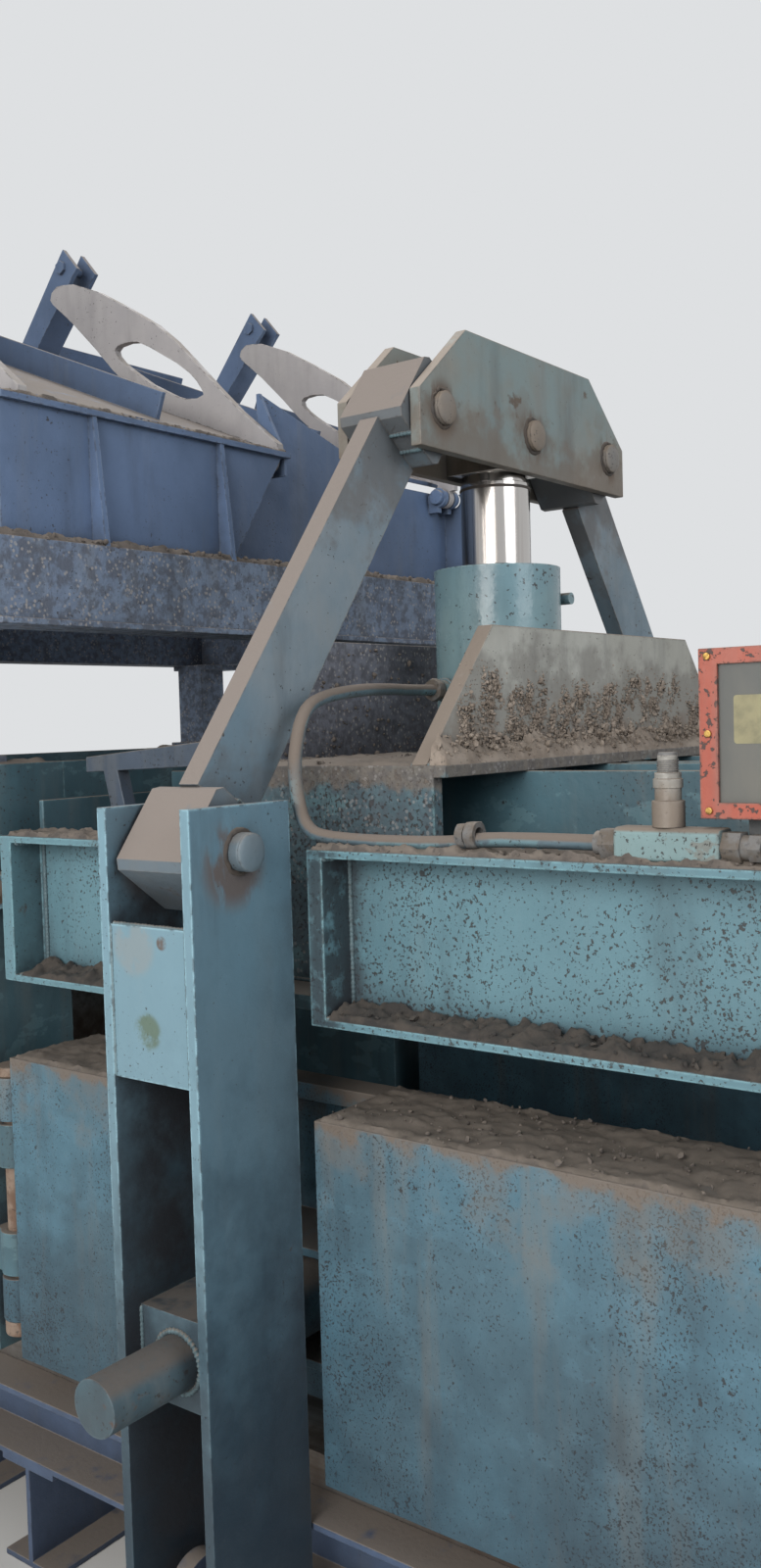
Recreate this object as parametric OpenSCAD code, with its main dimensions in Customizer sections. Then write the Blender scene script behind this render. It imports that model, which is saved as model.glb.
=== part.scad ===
// Horizontal channel baler, in millimetres, +Z up.
// The origin is on the floor under the axis of the tension cylinder.
// The channel runs along Y: bales leave towards -Y and the ram pushes from +Y.
// X is across the channel, in the plane of the tension linkage.

/* [Channel] */
// Inner width between the side walls
channel_w = 1100; // [1000:10:1160]
// Height from the channel floor to the roof plate
channel_h = 737; // [700:1:760]
// Height of the channel floor above the ground
floor_z = 400; // [390:1:420]
// Thickness of the floor plate
floor_t = 25; // [16:1:30]
// Length from the tension axis to the exit mouth
exit_len = 1150; // [1000:10:1400]
// Length from the tension axis to the rear end of the side walls
wall_len = 625; // [560:5:700]

/* [Base frame] */
// Height of the sleepers under the side beams
sleeper_h = 204; // [196:1:215]
// Width of each sleeper
sleeper_w = 150; // [100:10:200]
// Height of the side beams
side_beam_h = 137; // [120:1:150]
// Width of the side beams
side_beam_w = 100; // [80:5:110]
// Wall thickness of the rolled sections
section_t = 12; // [8:1:16]

/* [Side walls] */
// Height of the side walls
wall_h = 579; // [500:1:600]
// Gap under the side walls
wall_gap = 10; // [6:1:15]
// Depth of each side wall from skin to outer face
wall_depth = 220; // [180:5:240]
// Thickness of the inner skin
skin_t = 20; // [12:1:25]
// Thickness of the outer plates
wall_t = 12; // [8:1:14]
// Half width of the recess behind each lever
recess_half = 121; // [112:1:140]
// Diameter of the hinge pins of the side walls
wall_pin_d = 40; // [30:1:50]

/* [Roof] */
// Thickness of the roof plate
roof_t = 25; // [16:1:30]
// Height of the edge beams and of everything below the saddle
beam_h = 272; // [250:1:280]
// Flange width of the edge beams
beam_w = 82; // [70:1:90]
// Flange and web thickness of the edge beams
beam_t = 13; // [8:1:16]
// Thickness of the end plates beside the levers
end_plate_t = 30; // [15:1:40]
// Height of the roof ribs above the roof plate
rib_h = 348; // [330:1:360]
// Thickness of the roof ribs
rib_t = 15; // [10:1:20]
// Distance of the outer ribs from the middle
rib_x = 350; // [300:5:400]
// Distance of the inner ribs from the middle
inner_rib_x = 50; // [40:5:90]
// Half length of the saddle across the channel
saddle_half = 600; // [560:5:620]
// Half width of the saddle along the channel
saddle_w = 268; // [255:1:290]
// Thickness of the saddle plate
saddle_t = 20; // [14:1:24]
// Height of the gussets beside the tension cylinder
gusset_h = 230; // [180:5:260]
// Half length of the gussets at their top
gusset_top = 393; // [300:1:450]
// Thickness of the gussets
gusset_t = 30; // [20:1:32]
// Distance of the gussets from the cylinder axis
gusset_y = 202; // [190:1:210]

/* [Tension cylinder] */
// Outer diameter of the barrel
barrel_d = 255; // [220:1:270]
// Height of the barrel's rim above the ground
barrel_top = 1901; // [1850:1:1920]
// Wall thickness of the barrel
barrel_wall = 22; // [15:1:30]
// Diameter of the rod
rod_d = 140; // [110:1:150]
// Running clearance of round sliding fits, on the radius
run_gap = 0.05; // [0.02:0.01:0.1]

/* [Crosshead and struts] */
// Height of the crosshead pins above the ground
head_pin_z = 2157; // [2130:1:2180]
// Distance of the outer crosshead pins from the middle
head_pin_x = 320; // [300:1:330]
// Diameter of the crosshead pins
head_pin_d = 60; // [50:1:66]
// Outer half thickness of the crosshead
head_half = 92.5; // [90.5:0.5:95]
// Thickness of the two crosshead plates
head_t = 22; // [18:1:22]
// Half length of the crosshead at its bottom
head_bottom = 390; // [385:1:420]
// Half length of the crosshead at its top
head_top = 238; // [200:1:260]
// Thickness of the flat bar of each strut
strut_t = 40; // [30:1:50]
// Depth of the flat bar of each strut
strut_w = 132; // [110:1:138]
// Half width of the strut end blocks
block_half = 68; // [60:1:68]
// Clearance on the radius in the foot of each strut
foot_gap = 1.5; // [1.5:0.1:2]

/* [Levers] */
// Gap between the side walls and the levers
lever_gap = 6; // [4:0.5:10]
// Height of the pin at the top of each lever
lever_pin_z = 1416; // [1405:1:1425]
// Height of the pivot at the foot of each lever
pivot_z = 250; // [240:1:265]
// Diameter of the lever pins and pivots
lever_pin_d = 58; // [50:1:62]
// Height of the top edge of each lever
lever_top = 1485; // [1475:1:1500]
// Depth of each lever across the channel
lever_w = 215; // [205:1:219]
// Half width of each lever along the channel
lever_half = 96; // [94:1:99]
// Thickness of the two plates of each lever
lever_t = 18; // [12:1:19]
// Height of the thrust bars
thrust_z = 652; // [600:1:700]
// Diameter of the thrust bars
thrust_d = 84; // [60:1:90]
// How far the thrust bars stand out from the middle
thrust_out = 1120; // [1050:1:1150]

/* [Press chamber] */
// Length of the feed opening along the channel
feed_len = 895; // [860:5:900]
// Height of the chamber sides above the ground
chamber_top = 1540; // [1500:5:1560]
// Thickness of the chamber side plates
chamber_t = 20; // [15:1:25]
// Length of the trough behind the feed opening
trough_len = 1400; // [1300:10:1450]
// Height of the trough sides above the ground
trough_top = 1190; // [1175:1:1230]

/* [Ram] */
// Length of the ram
ram_len = 950; // [900:10:1000]
// Side clearance of the ram
ram_gap = 5; // [3:1:8]
// Thickness of the ram's front plate
ram_face_t = 40; // [25:1:50]
// Thickness of the ram's other plates
ram_t = 20; // [12:1:25]
// Diameter of the main cylinder
main_d = 220; // [180:5:260]
// Diameter of the main rod
main_rod_d = 120; // [90:5:140]
// Diameter of the pins at both ends of the main cylinder
main_pin_d = 80; // [60:1:90]

/* [Hopper] */
// Height of the underside of the hopper ring
ring_z = 1795; // [1760:5:1830]
// Height of the hopper ring
ring_h = 160; // [140:5:180]
// Half width of the hopper ring
ring_half = 830; // [800:5:860]
// Distance from the tension axis to the front of the hopper ring
ring_y = 530; // [500:5:560]
// Height of the hopper walls above the ring
hood_h = 265; // [240:5:300]
// Distance of the outer lid arms from the middle
arm_x = 720; // [680:5:740]
// Thickness of the lid arms
arm_t = 20; // [12:1:25]
// Opening angle of the lid in the stored position
lid_angle = 22.5; // [19:0.1:24]
// Length of the lid panel
lid_len = 1005; // [960:5:1010]

/* [Hidden] */
$fn = 48;

LEFT = -1;
RIGHT = 1;
touch = 0.3;
roof_z = floor_z + channel_h;
inner_x = channel_w / 2;
wall_x = inner_x + wall_depth;
wall_z = floor_z + wall_gap;
wall_top = wall_z + wall_h;
beam_x = wall_x - beam_w;
beam_top = roof_z + beam_h;
beam_gap = recess_half + 1;
rib_top = roof_z + roof_t + rib_h;
saddle_top = rib_top + saddle_t;
side_beam_top = sleeper_h + side_beam_h;

hinge_y = wall_len + 40;
hinge_x = wall_x - 35;
knuckle_r = 34;
wall_knuckle_z = [470, 860];
chamber_knuckle_z = [560, 770];
knuckle_h = 84;
roof_hinge_z = roof_z + 163;
roof_lug_x = wall_x - 70;
roof_lug_t = 25;
roof_pin_d = 50;

chamber_y = hinge_y + 40;
feed_y0 = chamber_y + 60;
feed_y1 = feed_y0 + feed_len - 60;
trough_y1 = feed_y1 + trough_len;
side_x = wall_x - 10;

exit_y = -exit_len;
wall_y0 = exit_y + 50;
barrel_foot_z = roof_z + roof_t;
head_bottom_z = head_pin_z - 74;
head_shoulder_z = head_pin_z + 27;
head_top_z = head_pin_z + 157;
head_inner = head_half - head_t;
lever_offset = 3.5;
lever_in = wall_x + lever_gap;
lever_out = lever_in + lever_w;
lever_x = lever_in + lever_w / 2 + lever_offset;
strut_dx = lever_x - head_pin_x;
strut_dz = head_pin_z - lever_pin_z;
strut_len = sqrt(strut_dx * strut_dx + strut_dz * strut_dz);
strut_angle = atan2(strut_dz, strut_dx);
block_l = 75;
block_w = 70;
block_chamfer = 12;

lever_inner = lever_half - lever_t;
web_z0 = lever_top - 403;
web_z1 = lever_top - 173;
saddle_block = [150, 140];
outrigger_h = 130;
outrigger_w = 220;
lug_y0 = 30;
lug_t = 30;

ram_y0 = feed_y1 + 20;
ram_y1 = ram_y0 + ram_len;
ram_top = roof_z - 2;
ram_z0 = floor_z + 12;
ram_pin_y = ram_y0 + 160;
main_z = floor_z + 366;
main_y0 = ram_y0 + ram_len - 270;
yoke_y = trough_y1 + 520;
main_y1 = yoke_y - 90;
frame_y1 = yoke_y + 180;
rail_z = [740, 790];

ring_top = ring_z + ring_h;
ring_y1 = feed_y1 + 60;
ring_w = 100;
hood_top = ring_top + hood_h;
hood_half = ring_half - 50;
hood_y = ring_y + 40;
hood_back = hood_y + 70;
hood_step = 185;
lid_hinge = [hood_y + 38, hood_top - 15];
lid_base = hood_top + 2;
lid_t = 12;
lid_boss_d = 52;
lid_shaft_d = 40;
post_w = 73;
post_t = 12;
post_bolt = [lid_hinge[0] + 704, lid_hinge[1] + 600];

pipe_d = 22;
pipe_x = beam_x + beam_w - 30;
tee_y = -710;
tee_size = [46, 144, 47];
pipe_z = beam_top + tee_size[2] / 2;
box_y = -752;
box_w = 340;
box_h = 212;
box_d = 120;
box_z = beam_top + 59;
box_x = pipe_x - box_d;

teal = [0.27, 0.47, 0.52];
light_teal = [0.42, 0.64, 0.68];
navy = [0.16, 0.22, 0.28];
steel = [0.55, 0.55, 0.55];
chrome = [0.85, 0.85, 0.87];
rust = [0.45, 0.33, 0.27];
orange = [0.80, 0.30, 0.18];

// A block between two corners
module block(x, y, z) {
    translate([x[0], y[0], z[0]]) cube([x[1] - x[0], y[1] - y[0], z[1] - z[0]]);
}

// A plate whose outline lies in X and Z, from y[0] to y[1]
module plate_xz(y) {
    translate([0, y[1], 0]) rotate([90, 0, 0]) linear_extrude(y[1] - y[0]) children();
}

// A plate whose outline lies in Y and Z, from x[0] to x[1]
module plate_yz(x) {
    translate([x[0], 0, 0]) rotate([90, 0, 90]) linear_extrude(x[1] - x[0]) children();
}

// Round bars along the three axes
module rod_x(d, x, y, z) {
    translate([x[0], y, z]) rotate([0, 90, 0]) cylinder(d = d, h = x[1] - x[0]);
}
module rod_y(d, x, y, z) {
    translate([x, y[1], z]) rotate([90, 0, 0]) cylinder(d = d, h = y[1] - y[0]);
}
module rod_z(d, x, y, z) {
    translate([x, y, z[0]]) cylinder(d = d, h = z[1] - z[0]);
}

// Puts a piece drawn on the right side onto the side asked for
module on_side(side) {
    if (side == LEFT) mirror([1, 0, 0]) children();
    else children();
}
module on_both_sides() {
    for (side = [LEFT, RIGHT]) on_side(side) children();
}

// A channel section along Y with its web at the inner side
module channel_y(x, y, z, t) {
    plate_xz(y) difference() {
        translate([x[0], z[0]]) square([x[1] - x[0], z[1] - z[0]]);
        translate([x[0] + t, z[0] + t]) square([x[1] - x[0], z[1] - z[0] - 2 * t]);
    }
}

// An I section across the machine
module sleeper(y, h) {
    t = section_t;
    plate_yz([-wall_x, wall_x]) translate([y - sleeper_w / 2, 0]) difference() {
        square([sleeper_w, h]);
        for (x = [-t, sleeper_w / 2 + t / 2]) translate([x, t]) square([sleeper_w / 2 + t / 2, h - 2 * t]);
    }
}

module base_frame() color(navy) {
    difference() {
        union() {
            for (y = [wall_y0 + 60, wall_y0 / 2, wall_len, feed_y0 + 200, feed_y1 + 100, trough_y1 - 450,
                      trough_y1 + 100, frame_y1 - 80]) sleeper(y, sleeper_h);
            on_both_sides() {
                channel_y([wall_x - side_beam_w, wall_x], [exit_y, frame_y1], [sleeper_h, side_beam_top],
                    section_t);
                block([wall_x - side_beam_w, wall_x], [-outrigger_w / 2, outrigger_w / 2],
                    [outrigger_h, sleeper_h]);
                for (s = [-1, 1]) plate_xz([min(s * lug_y0, s * (lug_y0 + lug_t)),
                                            max(s * lug_y0, s * (lug_y0 + lug_t))]) union() {
                    translate([lever_x, pivot_z]) circle(r = 55);
                    translate([lever_x - 80, outrigger_h]) square([160, 40]);
                    translate([lever_x - 55, outrigger_h]) square([110, pivot_z - outrigger_h]);
                }
            }
            block([-lever_out - 20, lever_out + 20], [-outrigger_w / 2, outrigger_w / 2], [0, outrigger_h]);
        }
        on_both_sides() rod_y(lever_pin_d, lever_x, [-lever_half, lever_half], pivot_z);
    }
}

module channel_floor() color(steel) {
    block([-inner_x - 140, inner_x + 140], [exit_y, trough_y1], [floor_z - floor_t, floor_z]);
    for (x = [-450, -150, 150, 450]) block([x - 10, x + 10], [exit_y + 20, trough_y1 - 20],
        [sleeper_h, floor_z - floor_t]);
    on_both_sides() block([wall_x - side_beam_w, inner_x + 140], [exit_y, trough_y1],
        [side_beam_top, floor_z - floor_t]);
}

// One knuckle of a side wall hinge, with its lug towards y_root
module knuckle(z, y_root) {
    difference() {
        union() {
            rod_z(2 * knuckle_r, hinge_x, hinge_y, [z, z + knuckle_h]);
            block([hinge_x - 22, hinge_x + 22], [min(hinge_y, y_root), max(hinge_y, y_root)],
                [z, z + knuckle_h]);
        }
        rod_z(wall_pin_d + 2 * run_gap, hinge_x, hinge_y, [z - 1, z + knuckle_h + 1]);
    }
}

module chamber_side(side) color(teal) on_side(side) {
    block([inner_x, inner_x + chamber_t], [chamber_y, feed_y1 + 40], [floor_z, chamber_top]);
    block([inner_x, inner_x + chamber_t], [feed_y1 + 40, trough_y1], [floor_z, trough_top]);
    for (y = [chamber_y, feed_y0 + 270, feed_y0 + 570, feed_y1 + 20])
        block([inner_x, side_x], [y, y + chamber_t], [floor_z, chamber_top]);
    for (y = [1, 2, 3]) block([inner_x, side_x - 60], [feed_y1 + y * trough_len / 3 - 40,
        feed_y1 + y * trough_len / 3 - 25], [floor_z, trough_top]);
    block([inner_x, side_x], [chamber_y, feed_y1 + 40], [chamber_top - 20, chamber_top]);
    block([inner_x, side_x], [chamber_y, feed_y1 + 40], [wall_top, wall_top + 15]);
    block([inner_x, side_x - 60], [feed_y1 + 40, trough_y1], [trough_top - 15, trough_top]);
    for (z = chamber_knuckle_z) knuckle(z, chamber_y + 5);
    difference() {
        for (x = [roof_lug_x - roof_lug_t - 4, roof_lug_x + roof_lug_t + 4])
            plate_yz([x, x + roof_lug_t]) union() {
                translate([hinge_y, roof_hinge_z]) circle(r = 35);
                translate([hinge_y, roof_hinge_z - 35]) square([chamber_y + 5 - hinge_y, 70]);
            }
        rod_x(roof_pin_d, [inner_x, wall_x + 20], hinge_y, roof_hinge_z);
    }
}

module chamber_front() color(teal) {
    block([-inner_x, inner_x], [chamber_y, chamber_y + 20], [roof_z, chamber_top]);
    block([-inner_x, inner_x], [chamber_y, feed_y0], [roof_z, roof_z + 20]);
    block([-inner_x, inner_x], [feed_y0 - 20, feed_y0], [roof_z, roof_z + 160]);
    block([-inner_x, inner_x], [chamber_y, feed_y0], [roof_z + 140, roof_z + 160]);
}

module chamber_rear() color(teal) {
    block([-inner_x, inner_x], [feed_y1, feed_y1 + 20], [roof_z, chamber_top]);
    for (x = [-300, 0, 300]) plate_yz([x - 8, x + 8]) polygon([[feed_y1 + 20, roof_z + 12],
        [feed_y1 + 140, roof_z + 12], [feed_y1 + 20, chamber_top - 60]]);
}

module shear_blade() color(steel) difference() {
    block([-inner_x + 5, inner_x - 5], [feed_y0, feed_y0 + 30], [roof_z, roof_z + 60]);
    for (x = [-480:160:480]) rod_y(26, x, [feed_y0 + 18, feed_y0 + 40], roof_z + 32);
}

module guide_rails() color(steel) on_both_sides()
    block([inner_x - 30, inner_x], [ram_y0 - 320, trough_y1], rail_z);

module trough_cover() color(teal) {
    block([-inner_x, inner_x], [feed_y1 + 20, trough_y1 - 20], [roof_z, roof_z + 12]);
    for (y = [1, 2, 3]) block([-inner_x, inner_x], [feed_y1 + y * trough_len / 3 - 60,
        feed_y1 + y * trough_len / 3 - 45], [roof_z + 12, trough_top - 10]);
}

module rear_yoke() color(navy) difference() {
    union() {
        on_both_sides() {
            plate_yz([120, 160]) polygon([[trough_y1 + 60, side_beam_top], [frame_y1, side_beam_top],
                [frame_y1, main_z + 40], [yoke_y + 60, main_z + 120], [yoke_y - 60, main_z + 120],
                [yoke_y - 120, main_z]]);
            block([160, wall_x - 20], [frame_y1 - 60, frame_y1 - 40], [side_beam_top, main_z - 60]);
            block([160, wall_x - 20], [yoke_y - 80, yoke_y - 60], [side_beam_top, main_z - 60]);
        }
        block([-120, 120], [frame_y1 - 30, frame_y1], [side_beam_top, main_z + 40]);
        block([-wall_x, wall_x], [trough_y1 + 60, frame_y1], [side_beam_top, side_beam_top + 25]);
    }
    rod_x(main_pin_d, [-200, 200], yoke_y, main_z);
}

module yoke_pin() color(rust) {
    rod_x(main_pin_d, [-185, 185], yoke_y, main_z);
}

module main_barrel() color(teal) {
    difference() {
        union() {
            rod_y(main_d, 0, [main_y0, main_y1], main_z);
            rod_y(main_d + 16, 0, [main_y1 - 40, main_y1], main_z);
            block([-100, 100], [main_y1, yoke_y], [main_z - 60, main_z + 60]);
            rod_x(120, [-100, 100], yoke_y, main_z);
            block([-35, 35], [main_y1 - 160, main_y1 - 90],
                [main_z + main_d / 2 - 15, main_z + main_d / 2 + 35]);
        }
        rod_y(main_rod_d + 4, 0, [main_y0 - 1, main_y1 - 60], main_z);
        rod_x(main_pin_d + 2 * run_gap, [-120, 120], yoke_y, main_z);
    }
}

module main_gland() color(steel) difference() {
    rod_y(main_d + 24, 0, [main_y0 - 50, main_y0], main_z);
    rod_y(main_rod_d + 2 * run_gap, 0, [main_y0 - 51, main_y0 + 1], main_z);
}

module hopper_ring() color(navy) {
    for (y = [ring_y, ring_y1 - ring_w]) difference() {
        block([-ring_half, ring_half], [y, y + ring_w], [ring_z, ring_top]);
        block([-ring_half - 1, ring_half + 1], [y + section_t, y + ring_w - section_t],
            [ring_z + section_t, ring_top - section_t]);
    }
    block([-ring_half, ring_half], [ring_y - 18, ring_y], [ring_z, ring_z + section_t]);
    on_both_sides() {
        block([ring_half - ring_w, ring_half], [ring_y + ring_w, ring_y1 - ring_w], [ring_z, ring_top]);
        for (y = [feed_y0 + 20, feed_y1 - 100]) {
            block([side_x - ring_w, side_x], [y, y + ring_w], [chamber_top, ring_z]);
            block([side_x - ring_w, ring_half], [y - 20, y + ring_w + 20], [ring_z - 15, ring_z]);
            block([side_x - ring_w - 20, side_x], [y - 20, y + ring_w + 20], [chamber_top, chamber_top + 15]);
        }
    }
}

module hopper_hood() color(navy) difference() {
    union() {
        plate_xz([hood_y, hood_y + 10]) polygon([[-hood_half, ring_top], [-hood_step, ring_top],
            [0, hood_top], [-hood_half, hood_top]]);
        plate_xz([hood_back, hood_back + 10]) polygon([[-hood_step, ring_top], [hood_half, ring_top],
            [hood_half, hood_top], [528, hood_top], [12, hood_top + 148], [12, hood_top], [0, hood_top]]);
        plate_xz([hood_y, hood_back + 10]) polygon([[-hood_step, ring_top], [-hood_step + 13, ring_top],
            [9, hood_top], [-4, hood_top]]);
        plate_yz([12, 20]) polygon([[hood_y, hood_top - 50], [hood_y, hood_top],
            [hood_back, hood_top + 148], [hood_back + 10, hood_top + 148], [hood_back + 10, hood_top - 50]]);
        block([-hood_half, 20], [hood_y - 14, hood_y + 10], [hood_top - 12, hood_top]);
        for (x = [-560, -205]) plate_yz([x - 6, x + 6]) polygon([[hood_y, ring_top], [ring_y + 2, ring_top],
            [hood_y - 12, hood_top - 12], [hood_y, hood_top - 12]]);
        on_both_sides() block([hood_half - 12, hood_half], [hood_y, ring_y1 - 30], [ring_top, hood_top]);
        block([-hood_half, hood_half], [ring_y1 - 42, ring_y1 - 30], [ring_top, hood_top]);
        for (x = [-arm_x - 24, -arm_x + 24, -24, arm_x - 24, arm_x + 24]) lid_lug(x, x > 0);
    }
    block([-11, 11], [hood_y + 10, hood_back + 11], [hood_top - 44, hood_top + 1]);
    rod_x(lid_shaft_d, [-hood_half - 1, hood_half + 1], lid_hinge[0], lid_hinge[1]);
}

// One lug of the lid shaft, welded to the front plate or to the plate behind it
module lid_lug(x, behind) plate_yz([x - 8, x + 8]) union() {
    translate(lid_hinge) circle(r = 26);
    translate([behind ? lid_hinge[0] : hood_y + 10, lid_hinge[1] - 40])
        square([behind ? hood_back - lid_hinge[0] : lid_hinge[0] - hood_y - 10, 50]);
}

module lid_shaft() color(steel) for (x = [[-arm_x - 45, 20], [arm_x - 45, arm_x + 45]])
    rod_x(lid_shaft_d, x, lid_hinge[0], lid_hinge[1]);

module wall_pins() color(rust) on_both_sides() {
    rod_z(wall_pin_d, hinge_x, hinge_y, [wall_knuckle_z[0] - 30, wall_knuckle_z[1] + knuckle_h + 20]);
    rod_z(wall_pin_d + 24, hinge_x, hinge_y, [wall_knuckle_z[1] + knuckle_h + touch,
        wall_knuckle_z[1] + knuckle_h + 20]);
    rod_z(wall_pin_d + 24, hinge_x, hinge_y, [wall_knuckle_z[0] - 30, wall_knuckle_z[0] - touch]);
}

module roof_pins() color(rust) on_both_sides()
    rod_x(roof_pin_d, [roof_lug_x - 45, roof_lug_x + 70], hinge_y, roof_hinge_z);

module pivot_pins() color(rust) on_both_sides()
    rod_y(lever_pin_d, lever_x, [-lever_half - 22, lever_half + 22], pivot_z);

module roof_plate() color(teal) {
    block([-beam_x, beam_x], [exit_y, wall_len + 15], [roof_z, roof_z + roof_t]);
    on_both_sides() {
        block([rib_x - rib_t, rib_x], [exit_y + 12, wall_len - 25], [roof_z, rib_top]);
        for (y = [[exit_y + 12, -barrel_d / 2 - 40], [barrel_d / 2 + 40, wall_len - 25]])
            block([inner_rib_x - rib_t, inner_rib_x], y, [roof_z, rib_top]);
    }
    for (s = [-1, 1]) {
        y = s * (barrel_d / 2 + 40);
        block([-rib_x, rib_x], [y - rib_t / 2, y + rib_t / 2], [roof_z, rib_top]);
    }
    block([-beam_x, beam_x], [exit_y, exit_y + 12], [roof_z, rib_top]);
    block([-beam_x, beam_x], [wall_len - 25, wall_len - 13], [roof_z, rib_top - 40]);
}

// The edge beam of one side between two places along the channel
module edge_beam(side, y, gap_end) color(light_teal) on_side(side) {
    channel_y([beam_x, wall_x], y, [roof_z, beam_top], beam_t);
    block([beam_x, wall_x], gap_end > 0 ? [y[0], y[0] + end_plate_t] : [y[1] - end_plate_t, y[1]],
        [roof_z, beam_top]);
    if (gap_end > 0) {
        block([beam_x, wall_x], [y[1] - end_plate_t, y[1]], [roof_z, beam_top]);
        difference() {
            plate_yz([roof_lug_x, roof_lug_x + roof_lug_t]) union() {
                translate([hinge_y, roof_hinge_z]) circle(r = 35);
                translate([y[1] - 5, roof_hinge_z - 35]) square([hinge_y - y[1] + 5, 70]);
            }
            rod_x(roof_pin_d + 2 * run_gap, [inner_x, wall_x + 20], hinge_y, roof_hinge_z);
        }
    }
}

module saddle() color(teal) difference() {
    union() {
        block([-saddle_half, saddle_half], [-saddle_w, saddle_w], [rib_top, saddle_top]);
        on_both_sides() block([saddle_half - 25, saddle_half], [-saddle_w + 23, saddle_w - 23],
            [roof_z + roof_t, rib_top]);
    }
    rod_z(barrel_d + 10, 0, 0, [rib_top - 1, saddle_top + 1]);
}

module gusset(y) color(steel) plate_xz(y) polygon([[-saddle_half, saddle_top], [saddle_half, saddle_top],
    [gusset_top, saddle_top + gusset_h], [-gusset_top, saddle_top + gusset_h]]);

// The raised rails behind the saddle, each with a sloping brace
module roof_rails() color(navy) on_both_sides() plate_yz([saddle_half - 55, saddle_half - 25]) {
    polygon([[saddle_w - 30, saddle_top], [saddle_w, saddle_top], [wall_len - 20, saddle_top - 12],
        [wall_len - 20, saddle_top + 18], [saddle_w - 30, saddle_top + 48]]);
    polygon([[wall_len - 110, saddle_top - 8], [wall_len - 70, saddle_top - 8],
        [wall_len - 160, roof_z + roof_t], [wall_len - 205, roof_z + roof_t]]);
}

module tension_barrel() color(teal) difference() {
    union() {
        rod_z(barrel_d, 0, 0, [barrel_foot_z, barrel_top]);
        rod_z(barrel_d + 20, 0, 0, [barrel_foot_z, barrel_foot_z + 40]);
        rod_x(40, [-barrel_d / 2 - 20, 0], 50, saddle_top + 130);
        rod_y(24, barrel_d / 2 - 32, [-barrel_d / 2 + 10, -barrel_d / 4], barrel_top - 60);
    }
    rod_z(barrel_d - 2 * barrel_wall, 0, 0, [barrel_foot_z + 60, barrel_top + 1]);
}

module tension_gland() color(steel) difference() {
    union() {
        rod_z(barrel_d - 2 * barrel_wall, 0, 0, [barrel_top - 120, barrel_top - 6]);
        rod_z(rod_d + 24, 0, 0, [barrel_top - 6, barrel_top + 2]);
    }
    rod_z(rod_d + 2 * run_gap, 0, 0, [barrel_top - 130, barrel_top + 10]);
}

PIPE = [[-pipe_x, tee_y + tee_size[1] / 2 + 18 + touch, pipe_z], [-pipe_x, -430, pipe_z],
    [-pipe_x, -360, beam_top + 13], [-pipe_x, -150, beam_top + 13],
    [-pipe_x, -96, beam_top + 28], [-pipe_x, -80, beam_top + 90],
    [-pipe_x + 4, -76, beam_top + 145], [-pipe_x + 40, -66, saddle_top + 92],
    [-pipe_x + 100, -56, saddle_top + 114], [-0.7 * pipe_x, -34, saddle_top + 126],
    [-0.51 * pipe_x, 10, saddle_top + 130], [-barrel_d / 2 - 112, 50, saddle_top + 130],
    [-barrel_d / 2 - 20, 50, saddle_top + 130]];

// Cuts the corners of a route, keeping its two ends
function rounded(p) = concat([p[0]], [for (i = [0:len(p) - 2], k = [0, 1])
    if ((i > 0 || k == 1) && (i < len(p) - 2 || k == 0))
        k == 0 ? 0.75 * p[i] + 0.25 * p[i + 1] : 0.25 * p[i] + 0.75 * p[i + 1]], [p[len(p) - 1]]);
function unit(v) = v / norm(v);
function heading(p, i) = unit(p[min(i + 1, len(p) - 1)] - p[max(i - 1, 0)]);
function ring(p, i, d, n) = let (t = heading(p, i), a = unit(cross([1, -1, 1], t)), b = cross(t, a))
    [for (k = [0:n - 1]) p[i] + d / 2 * (a * cos(360 * k / n) + b * sin(360 * k / n))];

// A pipe of diameter d swept along the points p, with n sides
module pipe(p, d, n) {
    last = len(p) - 1;
    polyhedron([for (i = [0:last]) each ring(p, i, d, n)], concat(
        [[for (k = [0:n - 1]) k], [for (k = [n - 1:-1:0]) last * n + k]],
        [for (i = [0:last - 1], k = [0:n - 1]) let (m = (k + 1) % n)
            [i * n + k, i * n + n + k, i * n + n + m, i * n + m]]));
}

module pressure_pipe() color(teal) pipe(rounded(rounded(PIPE)), pipe_d, 12);

module tee_block() color(light_teal) difference() {
    block([-pipe_x - tee_size[0] / 2, -pipe_x + tee_size[0] / 2],
        [tee_y - tee_size[1] / 2, tee_y + tee_size[1] / 2], [beam_top, beam_top + tee_size[2]]);
    for (s = [-1, 1], z = [beam_top, beam_top + tee_size[2]])
        translate([-pipe_x + s * tee_size[0] / 2, tee_y, z]) rotate([90, 45, 0])
            cube([9, 9, tee_size[1] + 2], center = true);
}

module pipe_nuts() color(rust) {
    for (s = [-1, 1]) translate([-pipe_x, tee_y + s * tee_size[1] / 2, pipe_z]) rotate([-90 * s, 0, 0]) {
        difference() {
            union() {
                cylinder(d = 44, h = 24, $fn = 6);
                cylinder(d = 32, h = 34);
            }
            if (s > 0) translate([0, 0, 18]) cylinder(d = pipe_d + 2 * run_gap, h = 30);
        }
    }
    translate([-pipe_x, tee_y - tee_size[1] / 2 - 34, pipe_z]) rotate([90, 0, 0])
        cylinder(d = 38, h = 16, $fn = 6);
}

module riser() color(chrome) {
    rod_z(42, -pipe_x, tee_y + 4, [beam_top + tee_size[2], beam_top + tee_size[2] + 34]);
    rod_z(34, -pipe_x, tee_y + 4, [beam_top + tee_size[2], beam_top + tee_size[2] + 70]);
    rod_z(38, -pipe_x, tee_y + 4, [beam_top + tee_size[2] + 50, beam_top + tee_size[2] + 62]);
    rod_z(26, -pipe_x, tee_y + 4, [beam_top + tee_size[2], beam_top + tee_size[2] + 92]);
}

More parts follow.
